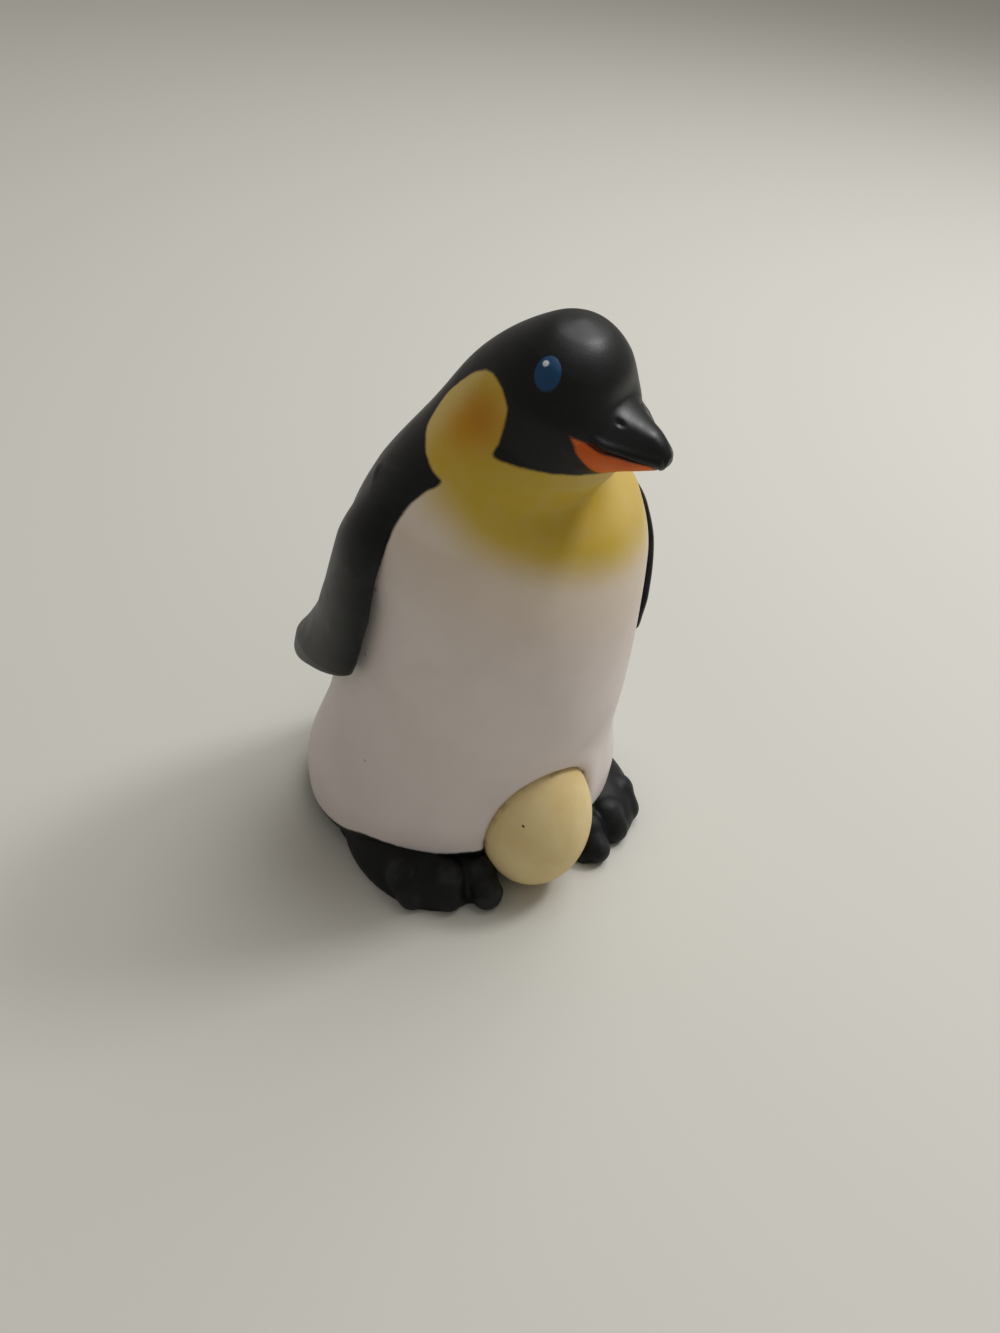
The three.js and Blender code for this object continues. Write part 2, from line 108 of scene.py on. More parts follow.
def curve_points(points: Any, at: Any) -> Array:
    """Points on a centripetal curve that passes through all the points given.

    Args:
        points: Points that the curve passes through, one a row.
        at: Places along the curve, where each whole number is one of the points.

    Returns:
        The coordinates at each place, in the last axis.
    """
    points = np.asarray(points, float)
    at = np.asarray(at, float)
    before = 2.0 * points[0] - points[1]
    after = 2.0 * points[-1] - points[-2]
    padded = np.vstack([before, points, after])
    index = np.clip(np.floor(at).astype(int), 0, len(points) - 2)
    share = (at - index)[..., None]
    p0, p1, p2, p3 = (padded[index + step] for step in range(4))

    def gap(start: Array, end: Array) -> Array:
        """Root of the distance between two points."""
        return np.maximum(((end - start) ** 2).sum(-1, keepdims=True) ** 0.25, 1e-4)

    d0, d1, d2 = gap(p0, p1), gap(p1, p2), gap(p2, p3)
    leaving = ((p1 - p0) / d0 - (p2 - p0) / (d0 + d1) + (p2 - p1) / d1) * d1
    arriving = ((p2 - p1) / d1 - (p3 - p1) / (d1 + d2) + (p3 - p2) / d2) * d1
    square = -3.0 * p1 + 3.0 * p2 - 2.0 * leaving - arriving
    cube = 2.0 * p1 - 2.0 * p2 + leaving + arriving
    return p1 + leaving * share + square * share**2 + cube * share**3


def closed_curve(points: Any, steps: int) -> Array:
    """Points on a smooth closed curve through a loop of points.

    Args:
        points: The loop's points, one a row, with no repeated end.
        steps: Steps between two neighbouring points.

    Returns:
        The points of the curve, one a row.
    """
    points = np.asarray(points, float)
    wrapped = np.vstack([points[-2:], points, points[:3]])
    at = 2.0 + np.arange(len(points) * steps) / steps
    return curve_points(wrapped, at)


def inside_loop(loop: Array, x: Array, y: Array) -> Array:
    """Tells which points lie inside a closed loop.

    Args:
        loop: Points of the loop, one a row.
        x: First coordinate of each point to test.
        y: Second coordinate of each point to test.

    Returns:
        True for each point that lies inside.
    """
    inside = np.zeros(len(x), bool)
    for (x0, y0), (x1, y1) in zip(loop, np.roll(loop, -1, axis=0)):
        if y0 == y1:
            continue
        crosses = (y0 > y) != (y1 > y)
        inside ^= crosses & (x < (x1 - x0) * (y - y0) / (y1 - y0) + x0)
    return inside


def nearest_index(points: Array, targets: Array) -> Array:
    """Place of the target nearest to each point.

    Args:
        points: Points to measure from, one a row.
        targets: Points to measure to, one a row.

    Returns:
        One row number of the targets for each point.
    """
    tree = KDTree(len(targets))
    for index, target in enumerate(targets):
        tree.insert(target, index)
    tree.balance()
    return np.array([tree.find(point)[1] for point in points])


def nearest_distance(points: Array, targets: Array) -> Array:
    """Distance from each point to the nearest target, both with one point a row."""
    return np.linalg.norm(points - targets[nearest_index(points, targets)], axis=1)


def height_above(points: Array, face: Array, facing: Array) -> tuple[Array, Array]:
    """Height of points above a surface that is given by points of its own.

    Args:
        points: Points to measure, one a row.
        face: Points of the surface, in the last axis.
        facing: Outward direction at each of them.

    Returns:
        The heights, and the surface's outward direction below each point.
    """
    face, facing = face.reshape(-1, 3), facing.reshape(-1, 3)
    found = nearest_index(points, face)
    return ((points - face[found]) * facing[found]).sum(1), facing[found]


# Surfaces


def paired(station: Any, degrees: Any) -> Sequence[Array]:
    """Stations and angles as two arrays of one shape."""
    return np.broadcast_arrays(np.asarray(station, float), np.asarray(degrees, float))


class RailSurface:
    """A surface of rings between a front rail and a back rail, which close in one tip."""

    station_step: float = 0.02
    degree_step: float = 1.0

    def __init__(
        self,
        front: Sequence[Column],
        back: Sequence[Column],
        half_widths: Column,
        tip: Column,
        origin: Column = (0.0, 0.0),
    ) -> None:
        """Keeps the rails.

        Args:
            front: Points of the front rail as forward and height.
            back: Points of the back rail as forward and height.
            half_widths: Half width of each ring.
            tip: Point in which both rails end.
            origin: Forward and height that all points are given from.
        """
        self.front = np.array([*front, tip]) + np.array(origin)
        self.back = np.array([*back, tip]) + np.array(origin)
        self.half = np.array([*half_widths, 0.0])[:, None]
        self.last = float(len(half_widths))

    def points(self, station: Any, degrees: Any) -> Array:
        """Points of the surface.

        Args:
            station: Stations of the points.
            degrees: Angles of the points.

        Returns:
            The points in millimetres, in the last axis.
        """
        station, degrees = paired(station, degrees)
        front = curve_points(self.front, station)
        back = curve_points(self.back, station)
        half = curve_points(self.half, station)[..., 0]
        angle = np.radians(degrees)
        flat = (front + back) / 2.0 + (front - back) / 2.0 * np.cos(angle)[..., None]
        return np.stack([half * np.sin(angle), -flat[..., 0], flat[..., 1]], axis=-1)

    def normals(self, station: Any, degrees: Any) -> Array:
        """Outward directions of the surface.

        Args:
            station: Stations of the points.
            degrees: Angles of the points.

        Returns:
            Unit vectors, in the last axis.
        """
        station, degrees = paired(station, degrees)
        step, turn = self.station_step, self.degree_step
        inside = np.clip(station, step, self.last - step)
        along = self.points(inside + step, degrees) - self.points(inside - step, degrees)
        around = self.points(inside, degrees + turn) - self.points(inside, degrees - turn)
        outward = np.cross(around, along)
        return outward / np.maximum(np.linalg.norm(outward, axis=-1, keepdims=True), 1e-9)

    def lifted(self, station: Any, degrees: Any, lift: Any) -> Array:
        """Points a given distance off the surface."""
        lift = np.asarray(lift, float)[..., None]
        return self.points(station, degrees) + self.normals(station, degrees) * lift

    def patch(self, stations: Column, degrees: Column, count: int) -> tuple[Array, Array]:
        """Even grid of points between two stations and two angles, and their outward directions."""
        grid = np.meshgrid(np.linspace(*stations, count), np.linspace(*degrees, count), indexing="ij")
        return self.points(*grid), self.normals(*grid)


class TwistedSurface(RailSurface):
    """A rail surface whose upper end is turned about an upright axis."""

    turn: float = 0.0
    axis_forward: float = 0.0
    twist_from: float = 0.0
    twist_to: float = 1.0

    def points(self, station: Any, degrees: Any) -> Array:
        """Points of the turned surface at stations and angles."""
        share = smoothstep(self.twist_from, self.twist_to, paired(station, degrees)[0])
        return turned(super().points(station, degrees), self.turn * share, self.axis_forward)


class GroovedSurface(RailSurface):
    """A rail surface with a shallow groove along each side of its back rail."""

    groove_angle: float = 140.0
    groove_spread: float = 20.0
    groove_share: float = 0.0
    # Stations before the tip at which the groove ends and at which it is deepest.
    groove_end: float = 0.2
    groove_full: float = 2.2

    def points(self, station: Any, degrees: Any) -> Array:
        """Points of the grooved surface.

        Args:
            station: Stations of the points.
            degrees: Angles of the points.

        Returns:
            The points in millimetres, in the last axis.
        """
        plain = super().points(station, degrees)
        station, degrees = paired(station, degrees)
        off = np.abs(np.abs((degrees + 180.0) % 360.0 - 180.0) - self.groove_angle)
        rise = smoothstep(self.last - self.groove_end, self.last - self.groove_full, station)
        plain[..., 0] *= 1.0 - self.groove_share * rise * np.exp(-((off / self.groove_spread) ** 2))
        return plain


def turned(points: Array, degrees: Any, axis_forward: float) -> Array:
    """Points turned to the figure's left about an upright axis.

    Args:
        points: Points in the last axis.
        degrees: Turn of each point.
        axis_forward: Forward distance of the axis.

    Returns:
        The turned points.
    """
    angle = np.radians(degrees)
    x, y = points[..., 0], points[..., 1] + axis_forward
    turned_x = x * np.cos(angle) - y * np.sin(angle)
    turned_y = x * np.sin(angle) + y * np.cos(angle) - axis_forward
    return np.stack([turned_x, turned_y, points[..., 2]], axis=-1)


# Meshes


def skin(name: str, rings: Array, first: Array, last: Array) -> Mesh:
    """Closed mesh of rings, with a pole point at each end.

    Args:
        name: Name of the mesh.
        rings: Rings of points that go anticlockwise as seen from the last ring.
        first: Pole before the first ring.
        last: Pole after the last ring.

    Returns:
        The mesh, still in millimetres.
    """
    count, sides = rings.shape[:2]
    points = np.vstack([rings.reshape(-1, 3), first, last])
    index = np.arange(count * sides).reshape(count, sides)
    ahead = np.roll(index, -1, axis=1)
    quads = np.stack([index[:-1], ahead[:-1], ahead[1:], index[1:]], axis=-1).reshape(-1, 4)
    low, high = count * sides, count * sides + 1
    bottom = [(low, int(b), int(a)) for a, b in zip(index[0], ahead[0])]
    top = [(high, int(a), int(b)) for a, b in zip(index[-1], ahead[-1])]
    mesh = bpy.data.meshes.new(name)
    mesh.from_pydata(points.tolist(), [], [*quads.tolist(), *bottom, *top])
    return mesh


def point_values(mesh: Mesh, name: str, values: Array) -> None:
    """Stores one number on each point of a mesh, as a named attribute."""
    attribute = mesh.attributes.new(name, "FLOAT", "POINT")
    attribute.data.foreach_set("value", np.ascontiguousarray(values, np.float32))


def point_vectors(mesh: Mesh, kind: str) -> Array:
    """Vectors that a mesh holds for its points.

    Args:
        mesh: The mesh.
        kind: Blender's name for the vectors.

    Returns:
        The vectors, one a row.
    """
    flat = np.empty(len(mesh.vertices) * 3)
    mesh.vertices.foreach_get(kind, flat)
    return flat.reshape(-1, 3)


def coordinates(mesh: Mesh) -> Array:
    """Coordinates of a mesh's points, one a row."""
    return point_vectors(mesh, "co")


def directions(mesh: Mesh) -> Array:
    """Outward direction at each of a mesh's points, one a row."""
    return point_vectors(mesh, "normal")


def set_coordinates(mesh: Mesh, points: Array) -> None:
    """Moves a mesh's points to new coordinates."""
    mesh.vertices.foreach_set("co", np.ascontiguousarray(points, float).ravel())
    mesh.update()


def neighbour_mean(mesh: Mesh, points: Array) -> Array:
    """Middle of the points that each point is joined to.

    Args:
        mesh: Mesh whose edges join the points.
        points: Coordinates of the points.

    Returns:
        One middle for each point.
    """
    edges = np.empty(len(mesh.edges) * 2, int)
    mesh.edges.foreach_get("vertices", edges)
    start, end = edges.reshape(-1, 2).T
    total = np.zeros_like(points)
    count = np.zeros(len(points))
    for here, there in ((start, end), (end, start)):
        np.add.at(total, here, points[there])
        np.add.at(count, here, 1.0)
    return total / np.maximum(count, 1.0)[:, None]


def relax(mesh: Mesh, weight: Array, rounds: int) -> None:
    """Smooths a mesh where its weight says so.

    Args:
        mesh: The mesh to smooth.
        weight: How much of each round a point takes part in, from 0 to 1.
        rounds: How often the points move towards the middle of their neighbours.
    """
    points = coordinates(mesh)
    step = (weight * RELAX_STEP)[:, None]
    for _ in range(rounds):
        points += (neighbour_mean(mesh, points) - points) * step
    set_coordinates(mesh, points)


def store_ridges(mesh: Mesh, spread: int) -> None:
    """Stores how far each point stands out from those around it, for wear on ridges.

    Args:
        mesh: The mesh, in millimetres.
        spread: How many rounds of neighbours the comparison reaches.
    """
    points = coordinates(mesh)
    calm = points.copy()
    for _ in range(spread):
        calm = neighbour_mean(mesh, calm)
    point_values(mesh, "ridge", ((points - calm) * directions(mesh)).sum(1))


def weld(mesh: Mesh, distance: float) -> None:
    """Joins points that lie together and points all faces outwards.

    Args:
        mesh: The mesh to clean.
        distance: Distance within which two points are one.
    """
    work = bmesh.new()
    work.from_mesh(mesh)
    bmesh.ops.remove_doubles(work, verts=work.verts[:], dist=distance)
    bmesh.ops.dissolve_degenerate(work, edges=work.edges[:], dist=distance)
    bmesh.ops.recalc_face_normals(work, faces=work.faces[:])
    work.to_mesh(mesh)
    work.free()


def evaluated(piece: Object, name: str) -> Mesh:
    """Plain mesh of an object with its modifiers applied.

    Args:
        piece: The object with its modifiers.
        name: Name of the new mesh.

    Returns:
        The new mesh.
    """
    graph = bpy.context.evaluated_depsgraph_get()
    mesh = bpy.data.meshes.new_from_object(piece.evaluated_get(graph))
    mesh.name = name
    return mesh


def shown(name: str, mesh: Mesh) -> Object:
    """Object that shows a mesh at the scene's origin.

    Args:
        name: Name of the object.
        mesh: Its mesh.

    Returns:
        The object, linked to the scene.
    """
    piece = bpy.data.objects.new(name, mesh)
    bpy.context.scene.collection.objects.link(piece)
    return piece


def placed(name: str, mesh: Mesh, shift: Array) -> Object:
    """Object of a mesh that is moved to the frame's metres and shaded smooth.

    Args:
        name: Name of the object.
        mesh: Its mesh, in millimetres.
        shift: Where the figure's axis lies in the frame, in millimetres.

    Returns:
        The object, linked to the scene.
    """
    set_coordinates(mesh, (coordinates(mesh) + shift) * MM)
    mesh.polygons.foreach_set("use_smooth", np.ones(len(mesh.polygons), bool))
    mesh.update()
    return shown(name, mesh)


def join_figure(piece: Object, node: str, material: Material) -> None:
    """Dresses a piece and puts it in the place of its solid.

    Args:
        piece: The finished piece.
        node: Node that the piece stands for.
        material: Finish of the piece.
    """
    piece.data.materials.clear()
    piece.data.materials.append(material)
    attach(piece, "root")
    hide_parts(node)
    LOG.info("%s: %d points, %d faces", piece.name, len(piece.data.vertices), len(piece.data.polygons))


# Nodes


class NodeBoard:
    """Lays the nodes of one tree and joins them."""

    def __init__(self, tree: NodeTree) -> None:
        """Keeps the tree that the nodes go to."""
        self.tree = tree

    def add(self, kind: str, inputs: dict[str, Any] | None = None, **settings: Any) -> Node:
        """Lays one node.

        Args:
            kind: Blender's name for the kind of node.
            inputs: Values or sockets for its inputs, by name or identifier.
            **settings: Properties of the node.

        Returns:
            The node.
        """
        node = self.tree.nodes.new(kind)
        for name, value in settings.items():
            setattr(node, name, value)
        for name, value in (inputs or {}).items():
            self.feed(self.socket(node.inputs, name), value)
        return node

    @staticmethod
    def socket(sockets: Any, name: str) -> NodeSocket:
        """Finds a socket by its identifier, or else by its name."""
        found = [item for item in sockets if item.identifier == name]
        return found[0] if found else sockets[name]

    def feed(self, target: NodeSocket, value: Any) -> None:
        """Links a socket to an input, or sets the input's value.

        Args:
            target: The input.
            value: Value or socket that the input takes.
        """
        if isinstance(value, NodeSocket):
            self.tree.links.new(value, target)
        else:
            target.default_value = value

    def maths(self, operation: str, first: Any, second: Any = 0.0, clamp: bool = False) -> NodeSocket:
        """Socket with one sum of values or sockets, kept between 0 and 1 where it is clamped."""
        inputs = {"Value": first, "Value_001": second}
        return self.add("ShaderNodeMath", inputs, operation=operation, use_clamp=clamp).outputs[0]

    def times(self, first: Any, second: Any) -> NodeSocket:
        """Product of two values or sockets."""
        return self.maths("MULTIPLY", first, second)

    def rise(self, value: Any, low: Any, high: Any) -> NodeSocket:
        """Socket with a smooth rise, from 0 at a low value to 1 at a high one."""
        inputs = {"Value": value, "From Min": low, "From Max": high}
        return self.add("ShaderNodeMapRange", inputs, interpolation_type="SMOOTHSTEP").outputs["Result"]

    def mix(self, factor: Any, first: Any, second: Any) -> NodeSocket:
        """Socket with a mix of two colours or sockets, where the factor is the second one's share."""
        inputs = {"Factor_Float": factor, "A_Color": first, "B_Color": second}
        return self.socket(self.add("ShaderNodeMix", inputs, data_type="RGBA").outputs, "Result_Color")

    def attribute(self, name: str) -> NodeSocket:
        """Socket of a number stored on the mesh's points."""
        return self.add("ShaderNodeAttribute", attribute_name=name).outputs["Fac"]

    def noise(self, place: Any, scale: Any, detail: float) -> NodeSocket:
        """Socket of a noise around 0.5, with its fineness in blobs for each metre."""
        node = self.add("ShaderNodeTexNoise", {"Vector": place, "Scale": scale, "Detail": detail})
        return self.socket(node.outputs, "Fac")


def group_board(
    kind: str, name: str, inputs: dict[str, Any], outputs: dict[str, str]
) -> tuple[NodeBoard, Any, Any]:
    """Starts a group of nodes.

    Args:
        kind: Shader or Geometry.
        name: Name of the group.
        inputs: The usual value of each number, or a word for the kind of another input.
        outputs: A word for the kind of each output.

    Returns:
        A board for the group, the sockets that it is given and those that it fills.
    """
    tree = bpy.data.node_groups.new(name, f"{kind}NodeTree")
    for label, value in inputs.items():
        word = value if isinstance(value, str) else "Float"
        socket = tree.interface.new_socket(name=label, in_out="INPUT", socket_type=f"NodeSocket{word}")
        if not isinstance(value, str):
            socket.default_value = value
    for label, word in outputs.items():
        tree.interface.new_socket(name=label, in_out="OUTPUT", socket_type=f"NodeSocket{word}")
    board = NodeBoard(tree)
    return board, board.add("NodeGroupInput").outputs, board.add("NodeGroupOutput").inputs


class SharedEffects:
    """Groups of shader nodes that several finishes use."""

    # Fineness of the noises, in blobs for each metre, or as a multiple of a given fineness.
    swell_share: float = 0.16
    sheen_share: float = 3.0
    wander_fineness: float = 420.0
    spatter_fineness: float = 5200.0
    stroke_fineness: float = 1500.0
    patch_fineness: float = 110.0
    dust_fineness: float = 9000.0
    # Heights of the noises at which strokes, patches and dust appear.
    stroke_range: Column = (0.6, 0.75)
    patch_full: float = 0.85
    dust_range: Column = (0.68, 0.8)
    stroke_turn: Column = (0.4, 0.7, 0.3)
    stroke_stretch: Column = (1.0, 0.12, 1.0)

    def __init__(self) -> None:
        """Builds each group once."""
        self.grain = self.vinyl_grain()
        self.edge = self.sprayed_edge()
        self.marks = self.handling_marks()

    def vinyl_grain(self) -> NodeTree:
        """Fine pebble of cast vinyl and a soft change of its sheen.

        Returns:
            The group, with a height, a sheen and a tone around 0.5.
        """
        board, given, made = group_board(
            "Shader",
            "vinyl_grain",
            {"Fineness": 2600.0, "Tone Size": 120.0},
            {"Height": "Float", "Sheen": "Float", "Tone": "Float"},
        )
        place = board.add("ShaderNodeTexCoord").outputs["Object"]
        pebble = board.noise(place, given["Fineness"], 2.0)
        swell = board.noise(place, board.times(given["Fineness"], self.swell_share), 2.0)
        sheen_size = board.times(given["Tone Size"], self.sheen_share)
        board.feed(made["Height"], board.maths("ADD", pebble, swell))
        board.feed(made["Sheen"], board.noise(place, sheen_size, 4.0))
        board.feed(made["Tone"], board.noise(place, given["Tone Size"], 3.0))
        return board.tree

    def sprayed_edge(self) -> NodeTree:
        """Edge of sprayed paint along a stored distance, with a slight wander and a fine spatter.

        Returns:
            The group, with the paint's cover from 0 to 1.
        """
        board, given, made = group_board(
            "Shader",
            "sprayed_edge",
            {"Distance": 0.0, "Softness": 0.4, "Wander": 0.3, "Spatter": 0.2},
            {"Cover": "Float"},
        )
        place = board.add("ShaderNodeTexCoord").outputs["Object"]
        wander = board.maths("SUBTRACT", board.noise(place, self.wander_fineness, 3.0), 0.5)
        spatter = board.maths("SUBTRACT", board.noise(place, self.spatter_fineness, 2.0), 0.5)
        moved = board.maths("ADD", given["Distance"], board.times(wander, given["Wander"]))
        moved = board.maths("ADD", moved, board.times(spatter, given["Spatter"]))
        under = board.times(given["Softness"], -1.0)
        board.feed(made["Cover"], board.rise(moved, under, given["Softness"]))
        return board.tree

    def handling_marks(self) -> NodeTree:
        """Small specks, faint scuffs and dust of a toy that was played with.

        Returns:
            The group, with masks for specks, scuffs and dust.
        """
        board, given, made = group_board(
            "Shader",
            "handling_marks",
            {"Speck Density": 140.0, "Speck Size": 0.05, "Speck Share": 0.2, "Scuff Share": 0.5},
            {"Specks": "Float", "Scuffs": "Float", "Dust": "Float"},
        )
        place = board.add("ShaderNodeTexCoord").outputs["Object"]
        cells = board.add("ShaderNodeTexVoronoi", {"Vector": place, "Scale": given["Speck Density"]})
        spot = board.maths("LESS_THAN", cells.outputs["Distance"], given["Speck Size"])
        lot = board.add("ShaderNodeSeparateColor", {"Color": cells.outputs["Color"]}).outputs["Red"]
        chosen = board.maths("LESS_THAN", lot, given["Speck Share"])
        board.feed(made["Specks"], board.times(spot, chosen))
        long_way = board.add(
            "ShaderNodeMapping",
            {"Vector": place, "Rotation": self.stroke_turn, "Scale": self.stroke_stretch},
        )
        strokes = board.noise(long_way.outputs["Vector"], self.stroke_fineness, 3.0)
        patches = board.noise(place, self.patch_fineness, 2.0)
        bare = board.maths("SUBTRACT", 1.0, given["Scuff Share"])
        where = board.rise(patches, bare, self.patch_full)
        board.feed(made["Scuffs"], board.times(board.rise(strokes, *self.stroke_range), where))
        board.feed(made["Dust"], board.rise(board.noise(place, self.dust_fineness, 1.0), *self.dust_range))
        return board.tree


class Coat(NodeBoard):
    """The nodes of one finish, which start with the grain of cast vinyl."""

    def __init__(self, tree: NodeTree, effects: SharedEffects, fineness: float) -> None:
        """Lays the grain.

        Args:
            tree: Nodes of the material.
            effects: Shared groups.
            fineness: Fineness of the grain.
        """
        super().__init__(tree)
        self.effects = effects
        self.grain = self.add("ShaderNodeGroup", node_tree=effects.grain).outputs
        self.grain["Height"].node.inputs["Fineness"].default_value = fineness

    def marks(self, density: float, size: float, share: float) -> Any:
        """Masks of the handling marks, with the specks' places for each metre, size and share of places."""
        values = {"Speck Density": density, "Speck Size": size, "Speck Share": share}
        return self.add("ShaderNodeGroup", values, node_tree=self.effects.marks).outputs

    def edge(self, name: str, softness: float, wander: float) -> NodeSocket:
        """Cover of sprayed paint along a distance stored on the mesh, above 0 under the paint."""
        values = {"Distance": self.attribute(name), "Softness": softness, "Wander": wander}
        return self.add("ShaderNodeGroup", values, node_tree=self.effects.edge).outputs["Cover"]

    def fold_shade_and_dirt(self, reach: Column, crumbs: Column, shares: Column) -> NodeSocket:
        """Cover of the dark band in the fold between the egg and the body, painted shade in the crease with
        crumbs of dirt.

        Args:
            reach: Distances from the fold at which the painted shade and dirt thin out and end.
            crumbs: Range of the grain's sheen over which crumbs appear.
            shares: Cover that the crumbs of dirt add, and cover of painted shade between them.

        Returns:
            The socket with the cover.
        """
        fold = self.maths("SUBTRACT", 1.0, self.rise(self.attribute("fold"), *reach))
        crumbly = self.times(self.rise(self.grain["Sheen"], *crumbs), shares[0])
        return self.times(fold, self.maths("ADD", crumbly, shares[1]))


@dataclass(frozen=True)
class VinylFinish(ABC):
    """Painted or plain soft vinyl, the base of every finish on the figure."""

    name: str
    colour: Colour
    roughness: float = 0.48
    gloss: float = 0.3
    pebble: float = 0.012
    fineness: float = 2600.0
    sheen_spread: float = 0.18
    # Range of the grain's tone over which the second colour appears, and its share.
    tone: Column = (0.35, 0.7, 0.4)

    def material(self, effects: SharedEffects) -> Material:
        """Builds the material.

        Args:
            effects: Shared groups.

        Returns:
            The finished material.
        """
        material = bpy.data.materials.new(self.name)
        material.use_nodes = True
        material.diffuse_color = self.colour
        shader = material.node_tree.nodes["Principled BSDF"].inputs
        shader["Specular IOR Level"].default_value = self.gloss
        coat = Coat(material.node_tree, effects, self.fineness)
        bump = coat.add("ShaderNodeBump", {"Height": coat.grain["Height"], "Strength": 1.0})
        bump.inputs["Distance"].default_value = self.pebble * MM
        coat.feed(shader["Normal"], bump.outputs["Normal"])
        colour, roughness = self.paint(coat)
        coat.feed(shader["Base Color"], colour)
        change = coat.times(coat.maths("SUBTRACT", coat.grain["Sheen"], 0.5), self.sheen_spread)
        coat.feed(shader["Roughness"], coat.maths("ADD", roughness, change, clamp=True))
        return material

    def toned(self, coat: Coat, second: Colour) -> NodeSocket:
        """Colour of the finish, which changes softly into a second one."""
        start, end, share = self.tone
        return coat.mix(coat.times(coat.rise(coat.grain["Tone"], start, end), share), self.colour, second)

    @abstractmethod
    def paint(self, coat: Coat) -> tuple[Any, Any]:
        """Lays the paint and gives its colour and its roughness, as values or sockets."""


@dataclass(frozen=True)
class BlackVinyl(VinylFinish):
    """Black vinyl with rubbed ridges, fine dust and a soft change of tone."""

    tone: Column = (0.4, 0.75, 0.3)
    specks: Column = (260.0, 0.05, 0.16)
    rubbed: Colour = display(46, 47, 50)
    rubbed_share: float = 0.4
    rub_from: float = 0.02
    rub_to: float = 0.12
    rub_sheen: Column = (0.35, 0.65)
    rub_cover: float = 0.6
    scuff_cover: float = 0.2
    dust: Colour = display(112, 108, 102)
    dust_cover: float = 0.12
    speck_cover: float = 0.3

    def paint(self, coat: Coat) -> tuple[Any, Any]:
        """Lays the black with its wear.

        Args:
            coat: Nodes of the material.

        Returns:
            The colour and the roughness.
        """
        marks = coat.marks(*self.specks)
        shares = (1.0 - self.rubbed_share, self.rubbed_share)
        colour = self.toned(coat, tuple(np.dot(shares, pair) for pair in zip(self.colour, self.rubbed)))
        worn = coat.times(coat.rise(coat.attribute("ridge"), self.rub_from, self.rub_to), self.rub_cover)
        worn = coat.times(worn, coat.rise(coat.grain["Sheen"], *self.rub_sheen))
        colour = coat.mix(worn, colour, self.rubbed)
        colour = coat.mix(coat.times(marks["Scuffs"], self.scuff_cover), colour, self.rubbed)
        dusty = coat.times(marks["Dust"], self.dust_cover)
        dusty = coat.maths("MAXIMUM", dusty, coat.times(marks["Specks"], self.speck_cover))
        return coat.mix(dusty, colour, self.dust), self.roughness


@dataclass(frozen=True)
class BodyPaint(VinylFinish):
    """White vinyl under a sprayed black hood and back, a yellow throat and amber ear patches."""

    sheen_spread: float = 0.16
    tone: Column = (0.35, 0.75, 0.25)
    specks: Column = (120.0, 0.045, 0.3)
    black: Colour = BLACK
    black_tone: Colour = display(16, 18, 19)
    black_tone_share: float = 0.8
    black_roughness: float = 0.4
    dust_cover: float = 0.1
    yellow: Colour = display(198, 169, 56)
    amber: Colour = display(186, 122, 12)
    cream: Colour = display(212, 190, 120)
    orange: Colour = ORANGE
    # How much the cover of yellow and amber changes with the grain, and its least.
    mottle: Column = (0.14, 0.91)
    shade: Colour = display(200, 188, 184)
    scuff_cover: float = 0.22
    # Colour of the fold round the egg: painted shade in the crease, with crumbs of dirt.
    fold_shade_and_grime: Colour = display(84, 70, 60)
    fold_shade_reach: Column = (0.1, 0.85)
    grime_crumbs: Column = (0.5, 0.62)
    fold_shade_and_grime_cover: Column = (0.5, 0.35)
    speck_cover: float = 0.35
    # Softness and wander of the sprayed edges.
    hood_edge: Column = (0.32, 0.5)
    mouth_edge: Column = (0.28, 0.3)

    def paint(self, coat: Coat) -> tuple[Any, Any]:
        """Lays the light front, then the hood and the orange at the mouth over it.

        Args:
            coat: Nodes of the material.

        Returns:
            The colour and the roughness.
        """
        marks = coat.marks(*self.specks)
        colour = self.toned(coat, self.shade)
        fine = coat.maths("ADD", coat.times(coat.grain["Sheen"], self.mottle[0]), self.mottle[1])
        yellow = coat.maths("MULTIPLY", coat.attribute("yellow"), fine, clamp=True)
        colour = coat.mix(yellow, colour, self.yellow)
        colour = coat.mix(coat.attribute("cream"), colour, self.cream)
        amber = coat.maths("MULTIPLY", coat.attribute("amber"), fine, clamp=True)
        colour = coat.mix(amber, colour, self.amber)
        colour = coat.mix(coat.times(marks["Scuffs"], self.scuff_cover), colour, self.shade)
        # Painted shade and crumbs of dirt darken the fold round the egg.
        fold_shade_and_dirt = coat.fold_shade_and_dirt(self.fold_shade_reach, self.grime_crumbs, self.fold_shade_and_grime_cover)
        fold_shade_and_dirt = coat.maths("MAXIMUM", fold_shade_and_dirt, coat.times(marks["Specks"], self.speck_cover))
        colour = coat.mix(fold_shade_and_dirt, colour, self.fold_shade_and_grime)
        hood_tone = coat.times(coat.grain["Tone"], self.black_tone_share)
        hood = coat.mix(hood_tone, self.black, self.black_tone)
        hood = coat.mix(coat.times(marks["Dust"], self.dust_cover), hood, self.shade)
        cover = coat.edge("dark", *self.hood_edge)
        mouth = coat.edge("mouth", *self.mouth_edge)
        drop = coat.times(cover, self.black_roughness - self.roughness)
        colour = coat.mix(mouth, coat.mix(cover, colour, hood), self.orange)
        return colour, coat.maths("ADD", drop, self.roughness)


